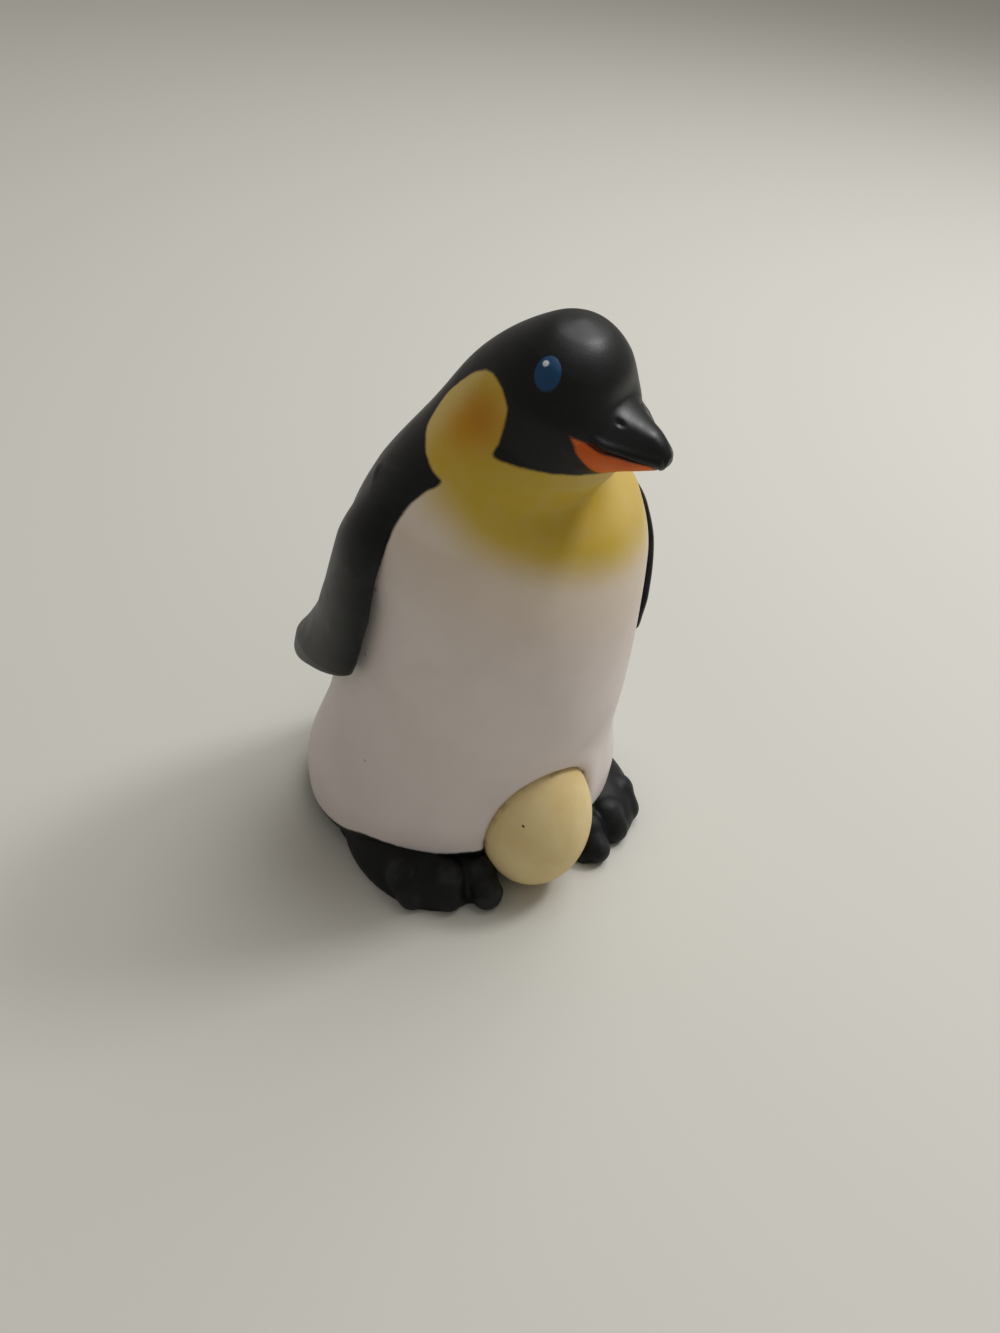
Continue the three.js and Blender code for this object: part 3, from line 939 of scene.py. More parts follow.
@dataclass(frozen=True)
class OrangePaint(VinylFinish):
    """Orange paint that turns black along the lip under the upper half and behind the line where the orange
    ends on the cheek.
    """

    sheen_spread: float = 0.15
    tone: Column = (0.35, 0.7, 0.7)
    specks: Column = (500.0, 0.06, 0.12)
    deep: Colour = display(186, 74, 28)
    black: Colour = display(30, 28, 28)
    speck_cover: float = 0.5
    black_edge: Column = (0.28, 0.3)

    def paint(self, coat: Coat) -> tuple[Any, Any]:
        """Lays the orange and the black along its edges.

        Args:
            coat: Nodes of the material.

        Returns:
            The colour and the roughness.
        """
        specks = coat.marks(*self.specks)["Specks"]
        colour = coat.mix(coat.times(specks, self.speck_cover), self.toned(coat, self.deep), self.black)
        # The orange turns black along the lip under the upper half and behind the cheek line.
        return coat.mix(coat.edge("black_border", *self.black_edge), colour, self.black), self.roughness


@dataclass(frozen=True)
class EyePaint(VinylFinish):
    """Glossy blue paint with a white glint and a darker rim."""

    sheen_spread: float = 0.1
    light: Colour = display(34, 84, 130)
    rim: Colour = display(14, 30, 46)
    rim_edge: Column = (0.14, 0.12)
    glint: Colour = display(206, 212, 214)
    glint_edge: Column = (0.1, 0.12)

    def paint(self, coat: Coat) -> tuple[Any, Any]:
        """Lays the blue, its rim and its glint, and gives the colour and the roughness."""
        colour = coat.mix(coat.edge("rim", *self.rim_edge), self.toned(coat, self.light), self.rim)
        return coat.mix(coat.edge("glint", *self.glint_edge), colour, self.glint), self.roughness


@dataclass(frozen=True)
class EggPaint(VinylFinish):
    """Cream paint, warmer in places, with a few dark specks and an edge in the fold darkened by painted
    shade and dirt.
    """

    tone: Column = (0.3, 0.72, 0.6)
    specks: Column = (130.0, 0.045, 0.8)
    warm: Colour = display(206, 174, 112)
    scuff_cover: float = 0.25
    # Colour of the edge in the fold: painted shade in the crease, with crumbs of dirt.
    fold_shade_and_grime: Colour = display(104, 84, 58)
    fold_shade_reach: Column = (0.05, 0.5)
    grime_crumbs: Column = (0.54, 0.66)
    fold_shade_and_grime_cover: Column = (0.22, 0.1)
    speck: Colour = display(52, 40, 30)
    speck_cover: float = 0.85
    fleck_edge: Column = (0.1, 0.1)

    def paint(self, coat: Coat) -> tuple[Any, Any]:
        """Lays the cream, the painted shade and dirt in the fold, the specks and the fleck.

        Args:
            coat: Nodes of the material.

        Returns:
            The colour and the roughness.
        """
        marks = coat.marks(*self.specks)
        colour = self.toned(coat, self.warm)
        colour = coat.mix(coat.times(marks["Scuffs"], self.scuff_cover), colour, self.warm)
        # Painted shade and crumbs of dirt darken the egg where it meets the body.
        fold_shade_and_dirt = coat.fold_shade_and_dirt(self.fold_shade_reach, self.grime_crumbs, self.fold_shade_and_grime_cover)
        colour = coat.mix(fold_shade_and_dirt, colour, self.fold_shade_and_grime)
        specks = coat.times(marks["Specks"], self.speck_cover)
        specks = coat.maths("MAXIMUM", specks, coat.edge("fleck", *self.fleck_edge))
        return coat.mix(specks, colour, self.speck), self.roughness


# The figure's form


@dataclass
class BodyForm:
    """Sizes of the body's surface, as rings from the floor to the crown."""

    trunk_front_forward: Column = (16.5, 24.4, 25.9, 26.2, 27.8, 27.5, 26.2, 23.3)
    trunk_front_height: Column = (3.6, 5.6, 11.5, 22.5, 32.5, 43.0, 53.0, 61.2)
    trunk_back_forward: Column = (-16.5, -26.4, -27.8, -24.0, -21.6, -19.8, -16.3, -11.3)
    trunk_back_height: Column = (3.6, 0.3, 5.8, 20.0, 34.0, 46.5, 58.0, 68.0)
    trunk_half_width: Column = (17.0, 27.0, 27.3, 24.1, 23.2, 23.8, 23.9, 21.2)
    head_front_forward: Column = (19.0, 21.5, 23.5, 21.3, 18.2)
    head_front_drop: Column = (24.9, 20.8, 13.9, 6.3, 2.1)
    head_back_forward: Column = (-6.0, -1.8, 2.9, 7.6, 10.6)
    head_back_drop: Column = (15.8, 9.1, 4.5, 1.4, 0.1)
    head_half_width: Column = (15.9, 12.4, 11.6, 8.8, 5.0)
    crown_forward: float = 14.4
    crown_height: float = 92.1
    head_turn: float = 25.0
    head_axis_forward: float = 4.0
    twist_from_station: float = 6.6
    twist_to_station: float = 9.2
    plug_back: float = 6.5
    brow_station: float = 10.62
    brow_half_width: float = 5.5
    brow_half_height: float = 2.0
    brow_depth: float = 0.75
    brow_reach: float = 8.0

    def surface(self) -> TwistedSurface:
        """The body's surface, with its head turned.

        Returns:
            The surface from the floor to the crown.
        """
        front = list(zip(self.trunk_front_forward, self.trunk_front_height))
        front += [(f, self.crown_height - d) for f, d in zip(self.head_front_forward, self.head_front_drop)]
        back = list(zip(self.trunk_back_forward, self.trunk_back_height))
        back += [(f, self.crown_height - d) for f, d in zip(self.head_back_forward, self.head_back_drop)]
        half = (*self.trunk_half_width, *self.head_half_width)
        surface = TwistedSurface(front, back, half, (self.crown_forward, self.crown_height))
        surface.turn = self.head_turn
        surface.axis_forward = self.head_axis_forward
        surface.twist_from = self.twist_from_station
        surface.twist_to = self.twist_to_station
        return surface

    def brow(self, points: Array) -> Array:
        """How deep the face is hollowed above the root of the bill.

        Args:
            points: Points of the body, one a row.

        Returns:
            Depth at each point.
        """
        local = turned(points - self.surface().points(self.brow_station, 0.0), -self.head_turn, 0.0)
        far = (local[:, 0] / self.brow_half_width) ** 2 + (local[:, 2] / self.brow_half_height) ** 2
        return np.where(local[:, 1] < self.brow_reach, self.brow_depth * np.exp(-far), 0.0)

    def shift(self) -> Array:
        """Where the figure's axis lies in the frame, taken from the base plug's solid.

        Returns:
            The place in millimetres.
        """
        low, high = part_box("base_plug")
        middle = (low + high) / 2.0 / MM
        return np.array([middle.x, middle.y - self.plug_back, 0.0])

    def with_head(self, points: Array) -> Array:
        """Points turned with the head."""
        return turned(points, self.head_turn, self.head_axis_forward)

    def before_turn(self, points: Array) -> Array:
        """Points of the head where they lie before it is turned."""
        return turned(points, -self.head_turn, self.head_axis_forward)


@dataclass
class EggForm:
    """Sizes and place of the egg."""

    half_length: float = 11.8
    radius: float = 9.2
    taper: float = 0.03
    sideways: float = -0.7
    sink: float = 2.1
    station: float = 2.0
    stand: float = 0.5
    tilt_left: float = 13.0
    tilt_back: float = 11.0
    samples: int = 181
    far_end: float = 1.6
    least_slope: float = 0.02

    def turn(self) -> Array:
        """Turn of the egg from upright, as a matrix."""
        back, left = math.radians(-self.tilt_back), math.radians(self.tilt_left)
        return np.array(Matrix.Rotation(back, 3, "X") @ Matrix.Rotation(left, 3, "Y"))

    def centre(self, body: RailSurface) -> Array:
        """Middle of the egg.

        Args:
            body: Surface that the egg sinks into.

        Returns:
            The middle in millimetres.
        """
        angle = np.linspace(0.0, math.pi, self.samples)[:, None]
        around = np.linspace(0.0, 2.0 * math.pi, self.samples)[None, :]
        ring = self.radius * np.sin(angle) * (1.0 - self.taper * np.cos(angle))
        height = self.half_length * np.cos(angle) + 0.0 * around
        upright = np.stack([ring * np.cos(around), ring * np.sin(around), height], -1)
        lowest = (upright @ self.turn().T)[..., 2].min()
        front = body.points(self.station, 0.0)
        return np.array([self.sideways, front[1] + self.sink, self.stand - lowest])

    def distance(self, body: RailSurface, points: Array) -> Array:
        """Distance of points from the egg's surface, below 0 inside.

        Args:
            body: Surface that the egg sinks into.
            points: Points in millimetres, one a row.

        Returns:
            One distance for each point, good near the surface.
        """
        local = (points - self.centre(body)) @ self.turn()
        along = np.clip(local[:, 2] / self.half_length, -self.far_end, self.far_end)
        ring = self.radius * (1.0 - self.taper * along)
        across = np.hypot(local[:, 0], local[:, 1])
        level = (across / ring) ** 2 + along**2 - 1.0
        slope_across = 2.0 * across / ring**2
        slope_along = (2.0 * across**2 * self.taper * self.radius / ring**3 + 2.0 * along) / self.half_length
        return level / np.maximum(np.hypot(slope_across, slope_along), self.least_slope)


@dataclass(frozen=True)
class Blend:
    """Rule by which a piece runs smoothly into the body it stands on."""

    rise: float
    reach: float
    tuck: float
    tuck_rate: float = 5.0
    least_way: float = 0.05

    def along(self, points: Array, outward: Array, face: Array, facing: Array) -> Array:
        """Movement along the body that lets the piece end flat on it and dip under it.

        Args:
            points: Points of the piece, one a row.
            outward: Direction in which each point faces.
            face: Points of the body around the piece.
            facing: Direction in which each of them faces.

        Returns:
            Movement of each point.
        """
        off, below = height_above(points, face, facing)
        spread = np.clip(1.0 - off / self.rise, 0.0, 1.0)
        far = self.reach * (1.0 - np.sqrt(1.0 - spread**2))
        far += np.clip(-self.tuck_rate * off, 0.0, self.tuck)
        way = outward - (outward * below).sum(1, keepdims=True) * below
        way /= np.maximum(np.linalg.norm(way, axis=1, keepdims=True), self.least_way)
        return way * far[:, None]


# Pieces


@dataclass
class BodyShell:
    """The hollow body and head in one casting, with the pouch for the egg and the short tail."""

    form: BodyForm
    egg: EggForm
    rings: int = 240
    sides: int = 320
    floor_rings: int = 8
    crown_gap: float = 0.03
    crown_stations: Column = (12.2, 12.8)
    crown_rounds: int = 60
    lip_radius: float = 1.3
    lip_reach: float = 12.0
    lip_swell: float = 0.3
    lip_swell_centre: float = 1.6
    lip_swell_width: float = 1.7
    lip_swell_sideways: Column = (-3.0, 5.0)
    tail_reach: float = 6.1
    tail_half_width: float = 6.2
    tail_width_power: float = 2.6
    tail_height: float = 2.2
    tail_half_thickness: float = 1.7
    tail_thickness_power: float = 2.2
    tail_back: float = 15.0
    # Edge of the light front, from the chin round an ear patch and down to the skirt, as stations
    # and angles from the front.
    light_edge: tuple[Column, ...] = (
        (9.28, 0), (9.28, 14), (9.26, 26), (9.18, 41), (9.07, 53), (8.92, 67), (8.82, 76), (8.77, 82),
        (8.82, 86), (9.02, 89), (9.41, 94), (9.73, 101), (9.9, 115), (9.76, 131), (9.24, 140),
        (8.68, 141), (8.27, 131), (8.08, 115), (7.98, 100), (7.95, 92), (7.92, 84), (7.84, 83.5),
        (7.7, 84.5), (7.43, 84.5), (7.05, 82), (6.7, 80), (6.35, 80), (6.0, 86), (5.4, 98), (5.0, 108),
        (4.0, 126), (3.0, 136), (2.0, 139), (1.4, 138), (1.15, 128), (1.12, 110), (1.15, 92),
        (1.28, 77), (1.5, 68), (1.54, 60), (1.5, 48), (1.5, 36), (1.57, 27), (1.64, 14),
    )
    edge_steps: int = 24
    degrees_to_a_station: float = 20.0
    # How much further back the edge lies at the left shoulder, where no black shows in front.
    slack_stations: Column = (6.2, 7.05, 7.43, 7.9, 8.1, 8.3)
    left_slack: Column = (0, 12, 17, 22, 10, 0)
    # Line along which the yellow of the throat fades into the white.
    fade_angles: Column = (-180, -95, -82, -64, -42, -18, 4, 31, 46, 62, 80, 100, 180)
    fade_stations: Column = (7.8, 7.8, 7.82, 7.66, 7.32, 7.04, 6.81, 6.55, 6.5, 6.65, 7.1, 7.6, 7.8)
    # Stations from that line between which the yellow rises, and the faint yellow haze below it, which is
    # partly a broader fade of the spray and partly painted warm bounce light from the throat.
    yellow_rise: Column = (-0.55, 0.3)
    fade_and_bounce_rise: Column = (-2.4, -0.2)
    fade_and_bounce_side: Column = (110.0, 70.0)
    fade_and_bounce_cover: float = 0.26
    # Angles and stations at which the yellow is thinner, on the left and under the chin.
    left_thin: Column = (10.0, 40.0)
    left_thin_share: float = 0.15
    chin_stations: Column = (8.5, 9.1)
    chin_side: Column = (60.0, 25.0)
    chin_thin_share: float = 0.1
    # Middle and half sizes of the amber, as a station and an angle.
    amber_place: Column = (9.02, 108.0)
    amber_half_sizes: Column = (0.72, 21.0)
    amber_cover: float = 0.9
    # The cream behind the amber: angles over which it rises at its station, slant and lowest station.
    cream_side: Column = (112.0, 134.0)
    cream_station: float = 9.0
    cream_slant: float = 14.0
    cream_lowest: float = 7.6
    cream_cover: float = 0.8
    fold_range: Column = (-2.0, 20.0)

    def build(self) -> Object:
        """Builds the shell's mesh and stores its paint.

        Returns:
            The body's object.
        """
        surface = self.form.surface()
        station, degrees = self.grid(surface)
        points = surface.points(station, degrees)
        normals = surface.normals(station, degrees).reshape(-1, 3)
        flat = points.reshape(-1, 3)
        lip = self.lip(self.egg.distance(surface, flat), flat[:, 0])
        moved = flat + normals * (lip - self.form.brow(flat))[:, None]
        moved[:, 1] += self.tail(flat)
        rings = moved.reshape(points.shape)
        floor = rings[0].mean(0)
        under = np.linspace(0.0, 1.0, self.floor_rings + 1)[1:-1, None, None]
        low = floor + (rings[0] - floor) * under
        crown = surface.points(surface.last, 0.0)
        mesh = skin("body_shell_skin", np.concatenate([low, rings]), floor, crown)
        station = np.concatenate([np.zeros(low.shape[:2]), station])
        degrees = np.concatenate([np.broadcast_to(degrees[:1], low.shape[:2]), degrees])
        station = np.append(station.ravel(), [0.0, surface.last])
        degrees = np.append(degrees.ravel(), [0.0, 180.0])
        relax(mesh, smoothstep(*self.crown_stations, station), self.crown_rounds)
        self.paint(mesh, surface, station, degrees)
        return placed("penguin_body", mesh, self.form.shift())

    def grid(self, surface: RailSurface) -> Sequence[Array]:
        """Stations and angles of the shell's points, from -180 to 180 degrees.

        Args:
            surface: The body's surface.

        Returns:
            The stations and the angles, as two grids.
        """
        station = np.linspace(0.0, surface.last - self.crown_gap, self.rings)
        degrees = np.arange(self.sides) * 360.0 / self.sides - 180.0
        return np.meshgrid(station, degrees, indexing="ij")

    def lip(self, gap: Array, sideways: Array) -> Array:
        """How far the skin rolls in at the egg and swells beside its upper end, which leans left.

        Args:
            gap: Distance of each point from the egg.
            sideways: Distance of each point to the figure's left.

        Returns:
            Movement outwards for each point.
        """
        near = np.clip(self.lip_radius - gap, 0.0, self.lip_radius)
        roll = self.lip_radius - np.sqrt(self.lip_radius**2 - near**2)
        swell = self.lip_swell * np.exp(-(((gap - self.lip_swell_centre) / self.lip_swell_width) ** 2))
        swell *= smoothstep(*self.lip_swell_sideways, sideways)
        return np.where(gap < self.lip_reach, swell - roll, 0.0)

    def tail(self, points: Array) -> Array:
        """How far the back is drawn out into the tail.

        Args:
            points: Points of the body, one a row.

        Returns:
            Movement backwards for each point.
        """
        across = np.abs(points[:, 0] / self.tail_half_width) ** self.tail_width_power
        upright = np.abs((points[:, 2] - self.tail_height) / self.tail_half_thickness)
        flat = np.exp(-(upright**self.tail_thickness_power))
        return np.where(points[:, 1] > self.tail_back, self.tail_reach * np.exp(-across) * flat, 0.0)

    def light(self, surface: RailSurface, station: Array, degrees: Array) -> Array:
        """Distance of points from the edge of the light front, below 0 on the front.

        Args:
            surface: The body's surface.
            station: Station of each point.
            degrees: Angle of each point.

        Returns:
            One distance for each point.
        """
        right = [(-angle, place) for place, angle in self.light_edge]
        left = [
            (angle + np.interp(place, self.slack_stations, self.left_slack, 0.0, 0.0), place)
            for place, angle in reversed(self.light_edge[1:])
        ]
        scale = (self.degrees_to_a_station, 1.0)
        loop = closed_curve(np.array(right + left) / scale, self.edge_steps) * scale
        edge = surface.points(loop[:, 1], loop[:, 0])
        distance = nearest_distance(surface.points(station, degrees), edge)
        return np.where(inside_loop(loop, degrees, station), -distance, distance)

    def paint(self, mesh: Mesh, surface: RailSurface, station: Array, degrees: Array) -> None:
        """Stores where each paint lies.

        Args:
            mesh: The shell's mesh, in millimetres.
            surface: The body's surface.
            station: Station of each point.
            degrees: Angle of each point.
        """
        side = np.abs(degrees)
        fade = np.interp(degrees, self.fade_angles, self.fade_stations)
        yellow = smoothstep(*(fade + step for step in self.yellow_rise), station)
        yellow *= 1.0 - self.left_thin_share * smoothstep(*self.left_thin, degrees)
        # Faint yellow haze below the throat: a broader fade of the spray and painted warm bounce light.
        fade_and_bounce_haze = self.fade_and_bounce_cover * smoothstep(*(fade + step for step in self.fade_and_bounce_rise), station)
        fade_and_bounce_haze *= smoothstep(*self.fade_and_bounce_side, side)
        chin = smoothstep(*self.chin_stations, station) * smoothstep(*self.chin_side, side)
        core = ((np.stack([station, side], -1) - self.amber_place) / self.amber_half_sizes) ** 2
        slant = (self.cream_station - station) * self.cream_slant
        rear = smoothstep(*self.cream_side, side + slant)
        gap = self.egg.distance(surface, surface.points(station, degrees))
        stored = {
            "dark": self.light(surface, station, degrees),
            "yellow": (yellow + fade_and_bounce_haze * (1.0 - yellow)) * (1.0 - self.chin_thin_share * chin),
            "amber": self.amber_cover * np.exp(-core.sum(-1)),
            "cream": self.cream_cover * rear * (station > self.cream_lowest),
            "fold": np.clip(gap, *self.fold_range),
        }
        for name, values in stored.items():
            point_values(mesh, name, values)

    def dress(self, piece: Object, effects: SharedEffects) -> None:
        """Gives the body its paint and its place in the figure."""
        finish = BodyPaint("body_paint", display(224, 214, 211), roughness=0.5, gloss=0.25)
        join_figure(piece, "body_shell", finish.material(effects))


@dataclass
class BasePlug:
    """The flanged plug with a vent that closes the floor of the body."""

    form: BodyForm
    hole_radius: float = 7.0
    flange_overhang: float = 2.0
    flange_thickness: float = 1.2
    stem_rise: float = 1.2
    vent_radius: float = 1.0
    clearance: float = 0.3
    wall: float = 2.2
    round_off: float = 0.3
    round_steps: int = 6
    ridge_spread: int = 3
    sides: int = 96

    def build(self) -> Object:
        """Turns the plug's outline about its axis.

        Returns:
            The plug's object.
        """
        floor = self.form.trunk_front_height[0]
        seat = floor - self.clearance
        under = seat - self.flange_thickness
        top = floor + self.wall + self.stem_rise
        stem = self.hole_radius - self.clearance
        flange = self.hole_radius + self.flange_overhang
        corners = [
            (self.vent_radius, under), (flange, under), (flange, seat),
            (stem, seat), (stem, top), (self.vent_radius, top),
        ]
        outline = self.rounded(corners)
        angle = np.arange(self.sides) * 2.0 * math.pi / self.sides
        rings = np.stack(
            [
                outline[:, :1] * np.cos(angle),
                outline[:, :1] * np.sin(angle) + self.form.plug_back,
                outline[:, 1:] + 0.0 * angle,
            ],
            axis=-1,
        )
        index = np.arange(len(outline) * self.sides).reshape(len(outline), self.sides)
        across = np.roll(index, -1, axis=1)
        above = np.roll(index, -1, axis=0)
        quads = np.stack([index, across, np.roll(across, -1, axis=0), above], -1).reshape(-1, 4)
        mesh = bpy.data.meshes.new("base_plug_skin")
        mesh.from_pydata(rings.reshape(-1, 3).tolist(), [], quads.tolist())
        store_ridges(mesh, self.ridge_spread)
        return placed("penguin_base_plug", mesh, self.form.shift())

    def rounded(self, corners: Sequence[Column]) -> Array:
        """Outline with its corners rounded off.

        Args:
            corners: Corners as radius and height.

        Returns:
            Points of the rounded outline, one a row.
        """
        points = np.array(corners, float)
        outline = []
        for before, here, after in zip(np.roll(points, 1, 0), points, np.roll(points, -1, 0)):
            into = (before - here) / np.linalg.norm(before - here)
            out = (after - here) / np.linalg.norm(after - here)
            for share in np.linspace(0.0, 1.0, self.round_steps):
                start = here + into * self.round_off * (1.0 - share)
                end = here + out * self.round_off * share
                outline.append(start * (1.0 - share) + end * share)
        return np.array(outline)

    def dress(self, piece: Object, effects: SharedEffects) -> None:
        """Gives the plug its finish and its place in the figure."""
        finish = BlackVinyl("plug_vinyl", display(34, 34, 36), roughness=0.58)
        join_figure(piece, "base_plug", finish.material(effects))


@dataclass
class Bill:
    """The bill, parted along the mouth line into a black upper and an orange lower half."""

    form: BodyForm
    station: float = 10.0
    jaw_forward: Column = (-6.5, -2.4, 0.5, 3.2, 5.4)
    jaw_height: Column = (-6.5, -5.8, -4.9, -4.1, -3.2)
    ridge_forward: Column = (-4.5, -0.4, 1.8, 4.0, 5.8)
    ridge_height: Column = (6.4, 3.7, 2.6, 1.5, -0.3)
    half_width: Column = (10.2, 7.8, 5.2, 3.5, 1.9)
    tip: Column = (6.3, -2.0)
    mouth_forward: Column = (-6.0, -4.1, -2.3, -0.2, 1.9, 3.5, 5.0, 5.6)
    mouth_height: Column = (3.2, 2.0, 0.9, -0.3, -1.2, -1.7, -2.3, -5.0)
    mouth_steps: int = 200
    parting_steps: int = 721
    clearance: float = 0.05
    least_opening: float = 8.0
    opening_steps: int = 1200
    groove_angle: float = 137.0
    groove_spread: float = 25.0
    groove_share: float = 0.15
    tip_gap: float = 0.01
    weld_distance: float = 0.01
    # Distances from the lip over which the halves are smoothed.
    upper_smooth: Column = (0.9, 0.2)
    upper_rounds: int = 24
    lower_smooth: Column = (0.7, 0.2)
    lower_rounds: int = 10
    lower_shrink: float = 0.12
    lip_roll: float = 0.25
    lip_roll_place: float = 0.8
    lip_roll_width: float = 0.6
    # The soft join with the face: the part of the face, and where on the bill it takes hold.
    root: Blend = Blend(rise=1.0, reach=0.55, tuck=1.2)
    root_stations: Column = (8.4, 12.0)
    root_degrees: Column = (-90.0, 90.0)
    root_count: int = 180
    root_from_lip: Column = (0.5, 2.2)
    root_facing_up: Column = (-0.6, -0.2)
    # Where the orange ends on the cheek, as heights and forward distances from the face.
    cheek_height: Column = (-6.0, -3.6, -2.2, -0.4, 1.3, 2.4)
    cheek_forward: Column = (-1.0, -1.7, -2.4, -3.5, -4.15, -4.5)
    chin_height: float = -4.0
    mouth_margin: float = 0.35
    # Width of the black along the lip of the lower half.
    black_border: float = 0.25
    rings: int = 120
    arc_sides: int = 96
    roof_sides: int = 40
    ridge_spread: int = 6
    nostril_place: Column = (1.1, 149.0)
    nostril_step: float = 0.1
    nostril_length: float = 0.62
    nostril_width: float = 0.4
    nostril_depth: float = 0.28

    def face(self) -> Array:
        """Forward and height of the face at the bill, before the head is turned."""
        return curve_points(self.form.surface().front, np.array(self.station))

    def surface(self) -> RailSurface:
        """The whole bill before its head is turned.

        Returns:
            The bill's surface.
        """
        jaw = list(zip(self.jaw_forward, self.jaw_height))
        ridge = list(zip(self.ridge_forward, self.ridge_height))
        surface = GroovedSurface(jaw, ridge, self.half_width, self.tip, tuple(self.face()))
        surface.groove_angle = self.groove_angle
        surface.groove_spread = self.groove_spread
        surface.groove_share = self.groove_share
        return surface

    def mouth(self, points: Array) -> Array:
        """Height of points above the mouth line.

        Args:
            points: Points before the head is turned.

        Returns:
            One height for each point.
        """
        forward, height = self.face()
        steps = np.linspace(0.0, len(self.mouth_forward) - 1.0, self.mouth_steps)
        line = curve_points(np.column_stack([self.mouth_forward, self.mouth_height]), steps)
        level = np.interp(-points[..., 1] - forward, line[:, 0], line[:, 1])
        return points[..., 2] - height - level

    def behind(self, points: Array) -> Array:
        """Distance of points behind the line where the orange ends on the cheek.

        Args:
            points: Points before the head is turned, one a row.

        Returns:
            One distance for each point.
        """
        forward, height = self.face()
        line = np.interp(points[:, 2] - height, self.cheek_height, self.cheek_forward)
        return line + points[:, 1] + forward

    def spray(self, body: Object) -> None:
        """Stores on the body where the orange of the lower half reaches onto the face.

        Args:
            body: The body's object.
        """
        straight = self.form.before_turn(coordinates(body.data) / MM - self.form.shift())
        above_chin = straight[:, 2] - self.face()[1] - self.chin_height
        below_mouth = -self.mouth(straight) - self.mouth_margin
        sprayed = np.minimum(np.minimum(above_chin, below_mouth), -self.behind(straight))
        point_values(body.data, "mouth", sprayed)

    def parting(self, surface: RailSurface, station: Array, drop: float) -> Array:
        """Angle at which each ring crosses the mouth line, 0 where it lies above it.

        Args:
            surface: The whole bill.
            station: Stations of the rings.
            drop: How far below the mouth line the parting lies.

        Returns:
            One angle for each ring.
        """
        degrees = np.linspace(0.0, 180.0, self.parting_steps)
        points = surface.points(station[:, None], degrees[None, :])
        above = self.mouth(points) + drop > 0.0
        return degrees[np.argmax(above, axis=1)]

    def half(self, name: str, station: Array, upper: bool, shrink: float) -> tuple[Mesh, Array]:
        """Skin of one half of the bill.

        Args:
            name: Name of the mesh.
            station: Stations of its rings.
            upper: Whether it is the upper half.
            shrink: How far its sides lie inside the whole bill.

        Returns:
            The mesh, and the points of its lip, one a row.
        """
        surface = self.surface()
        lip = self.parting(surface, station, 0.0 if upper else self.clearance)[:, None]
        share = np.linspace(0.0, 1.0, self.arc_sides)
        degrees = lip + (360.0 - 2.0 * lip) * share if upper else -lip + 2.0 * lip * share
        arc = surface.lifted(station[:, None], degrees, np.full(degrees.shape, -shrink))
        across = np.linspace(0.0, 1.0, self.roof_sides + 2)[1:-1]
        roof = arc[:, -1:] + (arc[:, :1] - arc[:, -1:]) * across[None, :, None]
        rings = self.form.with_head(np.concatenate([arc, roof], axis=1))
        mesh = skin(name, rings, rings[0].mean(0), rings[-1].mean(0))
        return mesh, self.form.with_head(arc[:, [0, -1]]).reshape(-1, 3)

    def root_flare(self, points: Array, outward: Array, near: Array) -> Array:
        """Flare that lets the root of the upper half run smoothly into the face.

        Args:
            points: Points of the upper half, one a row.
            outward: Direction in which each point faces.
            near: Distance of each point from the lip.

        Returns:
            Movement of each point.
        """
        plain, normals = self.form.surface().patch(self.root_stations, self.root_degrees, self.root_count)
        hollow = self.form.brow(plain.reshape(-1, 3)).reshape(plain.shape[:2])
        face = plain - normals * hollow[..., None]
        facing = np.cross(np.gradient(face, axis=1), np.gradient(face, axis=0))
        facing *= np.sign((facing * normals).sum(-1, keepdims=True))
        facing /= np.linalg.norm(facing, axis=-1, keepdims=True)
        outer = smoothstep(*self.root_from_lip, near) * smoothstep(*self.root_facing_up, outward[:, 2])
        return self.root.along(points, outward, face, facing) * outer[:, None]

    def nostrils(self, surface: RailSurface, points: Array) -> Array:
        """Dents a nostril into each side of the upper half.

        Args:
            surface: The whole bill.
            points: Points of the upper half, one a row.

        Returns:
            The dented points.
        """
        place, angle = self.nostril_place
        for side in Side:
            degrees = side.value * angle
            hole = self.form.with_head(surface.points(place, degrees))
            inward = -turned(surface.normals(place, degrees), self.form.head_turn, 0.0)
            slit = self.form.with_head(surface.points(place + self.nostril_step, degrees)) - hole
            slit /= np.linalg.norm(slit)
            along = (points - hole) @ slit
            beside = np.linalg.norm(points - hole - along[:, None] * slit, axis=1)
            far = (along / self.nostril_length) ** 2 + (beside / self.nostril_width) ** 2
            points = points + inward * (np.exp(-far) * self.nostril_depth)[:, None]
        return points

    def build_upper(self) -> Object:
        """Builds the black upper half with its rounded lip and its nostrils.

        Returns:
            The upper bill's object.
        """
        surface = self.surface()
        station = np.linspace(0.0, surface.last - self.tip_gap, self.rings)
        mesh, lip = self.half("upper_bill_skin", station, True, 0.0)
        weld(mesh, self.weld_distance)
        near = nearest_distance(coordinates(mesh), lip)
        relax(mesh, smoothstep(*self.upper_smooth, near), self.upper_rounds)
        outward = directions(mesh)
        roll = self.lip_roll * np.exp(-(((near - self.lip_roll_place) / self.lip_roll_width) ** 2))
        points = coordinates(mesh) + outward * roll[:, None]
        points += self.root_flare(points, outward, near)
        set_coordinates(mesh, self.nostrils(surface, points))
        store_ridges(mesh, self.ridge_spread)
        return placed("penguin_upper_bill", mesh, self.form.shift())

    def build_lower(self) -> Object:
        """Builds the orange lower half.

        Returns:
            The lower bill's object.
        """
        surface = self.surface()
        every = np.linspace(0.0, surface.last, self.opening_steps)
        open_mouth = every[self.parting(surface, every, self.clearance) > self.least_opening]
        station = np.linspace(0.0, open_mouth.max(), self.rings)
        mesh, lip = self.half("lower_bill_skin", station, False, self.lower_shrink)
        points = coordinates(mesh)
        near = nearest_distance(points, lip)
        behind = self.behind(self.form.before_turn(points))
